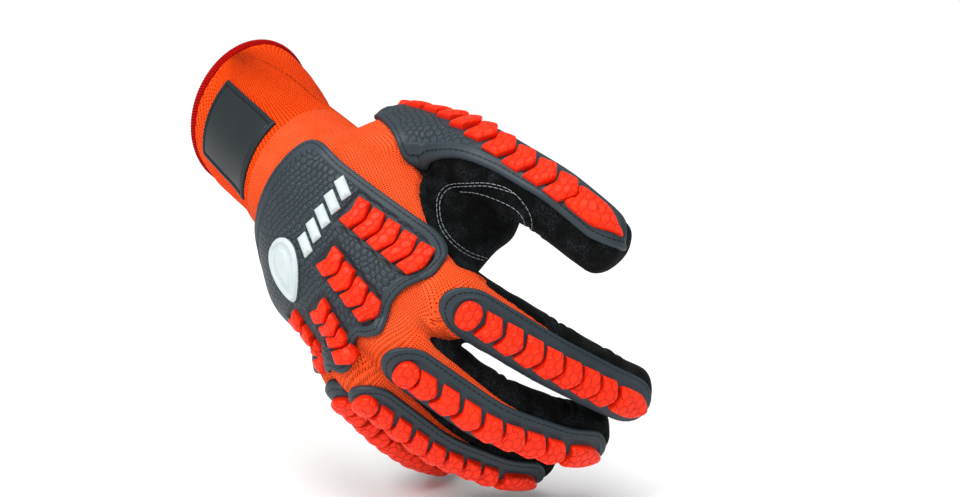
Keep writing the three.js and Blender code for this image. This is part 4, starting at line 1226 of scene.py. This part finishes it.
def stadium(low, high, half, step=0.7):
    """A long outline with round ends."""
    corners = []
    for k in range(13):
        a = math.pi * k / 12
        corners.append((half * math.cos(a), high - half + half * math.sin(a)))
    for k in range(13):
        a = math.pi + math.pi * k / 12
        corners.append((half * math.cos(a), low + half + half * math.sin(a)))
    return dense(corners, step)


def finger_guard(name):
    digit, row = DIGITS[name], PAD_ROWS[name]
    half = GUARD_SHARE * digit.row["girth"] / 2
    outline = stadium(*row["guard"], half)
    return plate(f"guard_{name}", outline, over_digit(name), lambda edge, flat: border_height(edge),
        MATERIALS["rubber"], [f"{name}_guard"])


for name in FINGERS:
    finger_guard(name)

THUMB_SHIFT = ((-10, -13.5), (18, -11.5), (30, -7.5), (42, -3.6), (52, -1.2), (64, 0), (84, 1), (120, 2))
THUMB_PLATE = [
    (-15.5, -0.6, 2.6), (-13, 2, 3.8), (-8, 7, 5), (-2.5, 13, 6.8), (3, 17, 9.4), (9, 19, 12.2),
     (14, 19.4, 15), (17, 19.2, 17),
    (19.4, 18.8, 17.8), (21.6, 18.4, 17), (23.6, 17.8, 14.8), (26.5, 16.8, 12.9), (31, 15.8, 12),
     (37, 14.8, 11), (46, 13.6, 9.7),
    (58, 12.8, 8.5), (70, 12, 8.3), (84, 10.8, 8.2), (98, 9.8, 8.4), (105, 8.6, 8.2), (111, 6.2, 6.6),
     (114.6, 3.4, 3.8),
    (116.2, 1.2, 1.4),
]


def thumb_guard():
    inner = [(b, s) for s, a, b in THUMB_PLATE]
    outer = [(-a, s) for s, a, b in reversed(THUMB_PLATE)]
    outline = closed_curve(inner + outer, 0.7)

    def extra(edge, flat):
        row = np.interp(flat[:, 1], *zip(*THUMB_SHIFT))
        wing = smooth(50, 46, flat[:, 1]) * smooth(RIDGE_AT + 0.6, RIDGE_AT + 1.2, edge)
        beside = smooth(6.4, 7.2, flat[:, 0] - row)
        return {"cells": wing * beside}

    return plate("guard_thumb", outline, over_thumb, lambda edge, flat: border_height(edge),
        MATERIALS["rubber"], ["thumb_guard"], extra=extra)


thumb_guard()

BACK_PLATE = [
    (-22, 4.6), (-28.6, 24), (-33.4, 40.5), (-37.8, 55), (-40.5, 65), (-40.4, 73), (-37.7, 79.6),
     (-33.2, 82.8), (-26.4, 81.4),
    (-19.8, 80.9), (-13.3, 82.6), (-8.4, 86.2), (-3.5, 89.9), (1.6, 88.4), (6.7, 84.2), (11.5, 84.6),
     (15.5, 88.6), (19.5, 91),
    (23.4, 89.4), (26.5, 85.6), (32, 84), (38, 82), (46, 76), (54, 63), (56, 45), (50, 28), (36, 16),
     (20, 9.5), (-4, 3.6),
]
BACK_ROWS = {
    "index": {"from": (-0.2536, 0.4955), "to": (-0.3595, 0.835), "count": 5, "wide": 13.6},
    "middle": {"from": (-0.024, 0.614), "to": (-0.055, 0.897), "count": 4, "wide": 12.4},
    "ring": {"from": (0.167, 0.745), "to": (0.19, 0.975), "count": 4, "wide": 10.6},
    "little": {"from": (0.387, 0.645), "to": (0.423, 0.885), "count": 4, "wide": 10.2},
}


def row_coordinates(row, flat):
    """Along and across a row of pads on the back of the hand."""
    start = np.array(row["from"]) * HAND[:2]
    end = np.array(row["to"]) * HAND[:2]
    ahead = unit(end - start)
    side = np.array([ahead[1], -ahead[0]])
    rel = flat - start
    return rel @ ahead, rel @ side, np.linalg.norm(end - start)


def channel(flat):
    """How much a place lies in the sunken bed of a row of pads."""
    deep = np.zeros(len(flat))
    for row in BACK_ROWS.values():
        along, across, length = row_coordinates(row, flat)
        pitch = length / (row["count"] - 1)
        wavy = 0.4 * np.cos((along / pitch) * 2 * math.pi)
        half = row["wide"] / 2
        side = smooth(half + 1.5, half + 0.6, np.abs(across) + wavy)
        ends = smooth(-pitch / 2 - 2.4, -pitch / 2 - 1.4, along) * smooth(length + pitch / 2 + 2.2,
            length + pitch / 2 + 1.4, along)
        deep = np.maximum(deep, side * ends)
    return deep


def back_guard():
    outline = closed_curve(BACK_PLATE, 0.7)

    def height(edge, flat):
        return border_height(edge) - 0.85 * channel(flat) * smooth(RIDGE_AT - 0.4, RIDGE_AT + 1,
            edge) + 0.45 * smooth(5, 6.4, edge)

    def extra(edge, flat):
        # deep also darkens the sunken bed of the pads as painted shade.
        deep = channel(flat) * smooth(RIDGE_AT - 0.2, RIDGE_AT + 0.8, edge)
        return {"cells": smooth(RIDGE_AT + 0.5, RIDGE_AT + 1.1, edge) * (1 - deep), "deep": 0.65 * deep}

    return plate("guard_back", outline, over_back, height, MATERIALS["rubber"], ["back_guard"],
        spacing=0.8, extra=extra)


back_guard()

# %% [markdown]
# ## Pads
#
# Each pad is a bevelled block whose ends are swept into a chevron. The first on a digit is a dome and the
# last a long bullet.

# %%
PAD_BOTTOM = GUARD_GAP + GUARD_THICKNESS - 0.9
ALONG_BLOCK = ((0, 0), (0, 0.6), (0.07, 0.86), (0.2, 0.97), (0.5, 1), (0.8, 0.98), (0.93, 0.88), (1, 0.64),
    (1, 0))
ACROSS_BLOCK = ((0, 0), (0, 0.6), (0.045, 0.84), (0.13, 0.94), (0.26, 0.98), (0.4, 1), (0.5, 1), (0.6, 1),
    (0.74, 0.98),
                (0.87, 0.94), (0.955, 0.84), (1, 0.6), (1, 0))


def block(middle, pitch, half_wide, shift=0.0, tilt=0.16):
    """One chevron: flat places, heights, how much each is top, and faces. It rises towards its front."""
    flat, height, top = [], [], []
    for t, rise_along in ALONG_BLOCK:
        for w, rise_across in ACROSS_BLOCK:
            side = 2 * w - 1
            bend = (math.sqrt(side * side + 0.03) - 0.17) / 0.84
            front = pitch * (0.66 - 0.42 * bend)
            rear = pitch * (-0.29 - 0.28 * bend + 0.06 * bend**4)
            narrow = 1 - 0.1 * (1 - t) - 0.05 * t
            flat.append((shift + side * half_wide * narrow, middle + rear + (front - rear) * t))
            rise = min(rise_along, rise_across)
            roof = 1 + tilt * (t - 0.4) - 0.1 * abs(side) ** 1.5
            height.append(PAD_HEIGHT * rise * roof)
            top.append(1.0 if rise >= 0.84 else 0.0)
    n = len(ACROSS_BLOCK)
    faces = [
        (r * n + k, r * n + k + 1, (r + 1) * n + k + 1, (r + 1) * n + k)
        for r in range(len(ALONG_BLOCK) - 1) for k in range(n - 1)
    ]
    return flat, height, top, faces


def dome(middle, half_long, half_wide, point, tail, shift=0.0):
    """A rounded pad: point above 0 draws its front end out, tail cuts its back end to a V."""
    rings = ((1.0, 0.0), (1.0, 0.5), (0.97, 0.74), (0.88, 0.93), (0.74, 1.04), (0.55, 1.1), (0.3, 1.13))
    sides = 40
    flat, height, top = [], [], []
    for share, h in rings:
        for k in range(sides):
            a = 2 * math.pi * k / sides
            c, s = math.cos(a), math.sin(a)
            power = 0.4 if s < 0 and tail else 0.86
            across = half_wide * np.sign(c) * abs(c) ** power
            along = half_long * np.sign(s) * abs(s) ** power
            if s > 0 and point:
                across *= 1 - point * (along / half_long) ** 2
            if s < 0 and tail:
                along = along * (1 - tail * (1 - abs(across) / half_wide))
            flat.append((shift + across * share, middle + along * share))
            height.append(PAD_HEIGHT * h)
            top.append(1.0 if h > 0.7 else 0.0)
    flat.append((shift, middle))
    height.append(PAD_HEIGHT * 1.14)
    top.append(1.0)
    faces = []
    for r in range(len(rings) - 1):
        for k in range(sides):
            n = (k + 1) % sides
            faces.append((r * sides + k, r * sides + n, (r + 1) * sides + n, (r + 1) * sides + k))
    last = (len(rings) - 1) * sides
    faces += [(last + k, last + (k + 1) % sides, len(flat) - 1) for k in range(sides)]
    return flat, height, top, faces


def pad_row(name, shapes, place, bottom, replaces):
    """A row of pads as one piece of moulded rubber."""
    flat, height, top = [], [], []
    for part in shapes:
        flat += part[0]
        height += part[1]
        top += part[2]
    flat = np.array(flat)
    points, ways = place(flat)
    points = points + ways * (bottom + np.array(height))[:, None]
    bm_faces = []
    start = 0
    for part in shapes:
        group = [tuple(i + start for i in f) for f in part[3]]
        a, b, c = (points[group[len(group) // 2][k]] for k in range(3))
        if np.dot(np.cross(b - a, c - a), ways[group[len(group) // 2][0]]) < 0:
            group = [tuple(reversed(f)) for f in group]
        bm_faces += group
        start += len(part[0])
    carried = {"top": np.array(top), "flat": np.concatenate([flat, 0 * flat[:, :1]], axis=1)}
    piece = add_piece(name, points, bm_faces, carried, MATERIALS["pads"], replaces)
    rounding = piece.modifiers.new("round", "SUBSURF")
    rounding.levels = 1
    rounding.render_levels = 1
    return piece


def digit_pads(name):
    """A dome, a row of chevrons and a bullet, evenly spaced along the outside of the bent digit."""
    digit, row = DIGITS[name], PAD_ROWS[name]
    places = np.interp([row["dome"], row["first"], row["last"], *row["tip"]], digit.s, digit.outer)
    domed, first, last, tip_from, tip_to = places
    pitch = (last - first) / (row["count"] - 1)
    half_wide = PAD_WIDTH / 2
    over = over_thumb if name == "thumb" else over_digit(name)

    def shift(along):
        return float(np.interp(np.interp(along, digit.outer, digit.s),
            *zip(*THUMB_SHIFT))) if name == "thumb" else 0.0

    def place(flat):
        return over(np.stack([flat[:, 0], np.interp(flat[:, 1], digit.outer, digit.s)], -1))

    round_half = 5.1 if name != "thumb" else 4.4
    shapes = [dome(domed, round_half, round_half, 0, 0, shift(first))]
    for k in range(1, row["count"]):
        middle = first + pitch * k
        length = pitch * min(0.86 + 0.025 * k, 0.98)
        tilt = min(0.12 + 0.05 * k, 0.4)
        shapes.append(block(middle, length, half_wide * (0.94 if k == 1 else 1), shift(middle), tilt))
    point = 0.8 if name == "thumb" else 0.6
    tip_half = 4.7 if name == "thumb" else 5
    shapes.append(dome((tip_from + tip_to) / 2, (tip_to - tip_from) / 2, tip_half, point, 0.36,
        shift(tip_from)))
    return pad_row(f"pads_{name}", shapes, place, PAD_BOTTOM, [f"{name}_pads"])


for name in DIGITS:
    digit_pads(name)


def back_pads(name):
    row = BACK_ROWS[name]
    start = np.array(row["from"]) * HAND[:2]
    end = np.array(row["to"]) * HAND[:2]
    ahead = unit(end - start)
    side = np.array([ahead[1], -ahead[0]])
    length = np.linalg.norm(end - start)
    pitch = length / (row["count"] - 1)

    def place(flat):
        return over_back(start + flat[:, :1] * side + flat[:, 1:] * ahead)

    shapes = [block(pitch * k, pitch * 0.98, row["wide"] / 2, 0, 0.1) for k in range(row["count"])]
    return pad_row(f"pads_on_back_{name}", shapes, place, PAD_BOTTOM - 0.3, [f"back_pads_{name}"])


for name in BACK_ROWS:
    back_pads(name)

# %% [markdown]
# ## Relief and label
#
# A plain rounded shape and a rising row of plain bars, in white. The label on the cuff is bare.

# %%
EMBLEM_RISE = 1.6


def relief_height(edge, flat):
    return GUARD_GAP + GUARD_THICKNESS + EMBLEM_RISE * (0.45 + 0.55 * smooth(0, 1.1, edge))


def rimmed_height(edge, flat):
    """A rounded rim, a sunken ring and a flat middle as high as the rim."""
    sunk = smooth(2.0, 2.7, edge) * smooth(5.4, 4.4, edge)
    return relief_height(edge, flat) - 0.75 * sunk


def emblem():
    made = []
    turn = math.radians(21)
    centre = np.array([0.22, 0.46]) * HAND[:2]
    blob = []
    for k in range(12):
        a = 2 * math.pi * k / 12
        along = 13.2 * math.cos(a)
        across = 8.4 * math.sin(a) * (1 - 0.25 * math.cos(a))
        blob.append((centre[0] + along * math.sin(turn) + across * math.cos(turn),
            centre[1] + along * math.cos(turn) - across * math.sin(turn)))
    rings = [0.25, 0.6, 1.0, 1.5, 2.0, 2.35, 2.7, 3.4, 4.4, 4.9, 5.4]
    made.append(plate("relief_shape", closed_curve(blob, 0.6), over_back, rimmed_height,
        MATERIALS["white"], ["back_emblem"], rings=rings))
    low = np.array([0.042, 0.456]) * HAND[:2]
    high = np.array([-0.268, 0.356]) * HAND[:2]
    for k in range(5):
        x, y = low + (high - low) * k / 4
        bar = [(x - 3, y - 4.4), (x + 1.4, y - 4.4), (x + 3, y + 4.4), (x - 1.4, y + 4.4)]
        made.append(plate(f"relief_bar_{k + 1}", dense(bar), over_back, relief_height,
            MATERIALS["white"], [], rings=[0.25, 0.6, 1.1]))
    return made


emblem()


def label():
    outline = dense([(-18.5, 7), (18.5, 7), (18.5, 53), (-18.5, 53)], 0.7)

    def height(edge, flat):
        groove = smooth(1.5, 1.9, edge) * smooth(2.9, 2.5, edge)
        return 0.3 + 1.1 * (0.5 + 0.5 * smooth(0, 0.5, edge)) - 0.6 * groove - 0.25 * smooth(2.5, 2.9, edge)

    rings = [0.25, 0.6, 1.1, 1.5, 1.9, 2.5, 2.9, 3.5]
    return plate("label_on_cuff", outline, over_cuff, height, MATERIALS["label"], ["cuff_label"],
        rings=rings)


label()

# %% [markdown]
# ## Camera
#
# The photograph's view. Its pixels also say where the white stitches of the thumb's crotch lie.

# %%
LENS = 52.5
SENSOR = 36
PICTURE_WIDTH, PICTURE_HEIGHT = 960, 497
CAMERA_AT = np.array([0.0768, -0.6043, 0.0963])
CAMERA_DOWN = 12
LOOK = unit(np.array([0, math.cos(math.radians(CAMERA_DOWN)), -math.sin(math.radians(CAMERA_DOWN))]))

camera_data = bpy.data.cameras.new("camera")
camera_data.lens = LENS
camera_data.sensor_width = SENSOR
camera_data.clip_start = 0.01
camera = bpy.data.objects.new("camera", camera_data)
camera.location = CAMERA_AT
camera.rotation_euler = Euler((math.radians(90 - CAMERA_DOWN), 0, 0))
bpy.context.scene.collection.objects.link(camera)
bpy.context.scene.camera = camera


def picture_rays(pixels):
    """Rays from the camera through places of the picture, in the hand's frame."""
    pixels = np.asarray(pixels, float)
    focal = LENS / SENSOR * PICTURE_WIDTH
    up = np.array([0, math.sin(math.radians(CAMERA_DOWN)), math.cos(math.radians(CAMERA_DOWN))])
    right = np.array([1.0, 0, 0])
    aside = (pixels[:, :1] - PICTURE_WIDTH / 2) / focal
    below = (pixels[:, 1:] - PICTURE_HEIGHT / 2) / focal
    ways = LOOK + aside * right - below * up
    start = (CAMERA_AT * 1000) @ TURN
    return np.tile(start, (len(pixels), 1)), unit(ways @ TURN)


# %% [markdown]
# ## White stitches
#
# Two rows of white thread hold the reinforcement of the thumb's crotch. Each stitch is a short, thin capsule
# of its own, so that it casts a shadow.

# %%
STITCH_LINES = {
    "outer": [
        (531, 237), (532, 220), (525, 205), (510, 190), (490, 183.5), (470, 183), (450, 184.5),
         (440, 192.5), (436.5, 205),
        (439, 225), (450, 242), (467, 255), (490, 262),
    ],
    "beside": [
        (515, 193.5), (490, 186.5), (470, 186), (452, 187.5), (443, 194.5), (439.5, 206), (442, 224),
         (452.5, 240),
        (469, 252), (488, 258.5),
    ],
    "inner": [(525, 232), (524, 220), (515, 209), (495, 199), (475, 192.8), (456, 191.5)],
}


def stitches(name, pixels, long=2.2, gap=0.4, thick=0.13):
    starts, ways = picture_rays(through(pixels, 12))
    points, normals, found = hit_skin(starts, ways, tree=CLOTH_TREE)
    points, normals = points[found], normals[found]
    length = np.concatenate([[0], np.cumsum(np.linalg.norm(np.diff(points, axis=0), axis=1))])
    at = np.arange(0, length[-1] - long, long + gap)
    verts, faces = [], []
    for s in at:
        a, b = (np.array([np.interp(s + d, length, points[:, k]) for k in range(3)]) for d in (0, long))
        n = unit(np.array([np.interp(s + long / 2, length, normals[:, k]) for k in range(3)]))
        ahead = unit(b - a)
        side = np.cross(ahead, n)
        base = len(verts)
        for t, w in ((0, 0.35), (0.12, 0.85), (0.35, 1), (0.65, 1), (0.88, 0.85), (1, 0.35)):
            rise = 0.75 + 0.25 * math.sin(math.pi * t)
            centre = a + (b - a) * t + n * 0.25 * rise
            for k in range(8):
                angle = 2 * math.pi * k / 8
                verts.append(centre + thick * w * (side * math.cos(angle) * 1.3 + n * math.sin(angle)))
        for r in range(5):
            for k in range(8):
                j = (k + 1) % 8
                faces.append((base + r * 8 + k, base + r * 8 + j, base + (r + 1) * 8 + j,
                    base + (r + 1) * 8 + k))
        faces.append(tuple(base + k for k in reversed(range(8))))
        faces.append(tuple(base + 40 + k for k in range(8)))
    return add_piece(f"stitches_{name}", np.array(verts), faces, {}, MATERIALS["thread"])


for name, pixels in STITCH_LINES.items():
    stitches(name, pixels)

# %% [markdown]
# ## Floor and light
#
# A pale floor, one soft key light from the left, a broad sun from above and an even world.

# %%
FLOOR_Z = cad_box[0][2] - 0.003


def make_floor():
    shader = Shader("pale_floor")
    grain = shader.add("ShaderNodeTexNoise", {"Scale": 400.0, "Detail": 2.0}).outputs[0]
    shader.set(Base_Color=shader.mix(grain, linear("#f6f6f6"), linear("#fafafa")), Roughness=0.8)
    mesh = bpy.data.meshes.new("floor")
    size = 20
    mesh.from_pydata([(-size, -size, FLOOR_Z), (size, -size, FLOOR_Z), (size, size, FLOOR_Z),
        (-size, size, FLOOR_Z)], [], [(0, 1, 2, 3)])
    floor = bpy.data.objects.new("floor", mesh)
    floor.data.materials.append(shader.material)
    bpy.context.scene.collection.objects.link(floor)


def area_light(name, at, target, size, watts):
    data = bpy.data.lights.new(name, "AREA")
    data.shape = "DISK"
    data.size = size
    data.energy = watts
    light = bpy.data.objects.new(name, data)
    light.location = at
    light.rotation_euler = (Vector(target) - Vector(at)).to_track_quat("-Z", "Y").to_euler()
    bpy.context.scene.collection.objects.link(light)


make_floor()
area_light("key", (-0.5, -0.6, 0.75), (0.04, 0, -0.04), 0.4, 9)
sun_data = bpy.data.lights.new("sun", "SUN")
sun_data.energy = 2.2
sun_data.angle = math.radians(42)
sun = bpy.data.objects.new("sun", sun_data)
sun.rotation_euler = Vector((-0.1, 0.32, -1)).to_track_quat("-Z", "Y").to_euler()
bpy.context.scene.collection.objects.link(sun)

world = bpy.data.worlds.new("world")
world.use_nodes = True
world.node_tree.nodes["Background"].inputs[0].default_value = (1, 1, 1, 1)
world.node_tree.nodes["Background"].inputs[1].default_value = 0.48
bpy.context.scene.world = world
bpy.context.scene.view_settings.view_transform = "Standard"
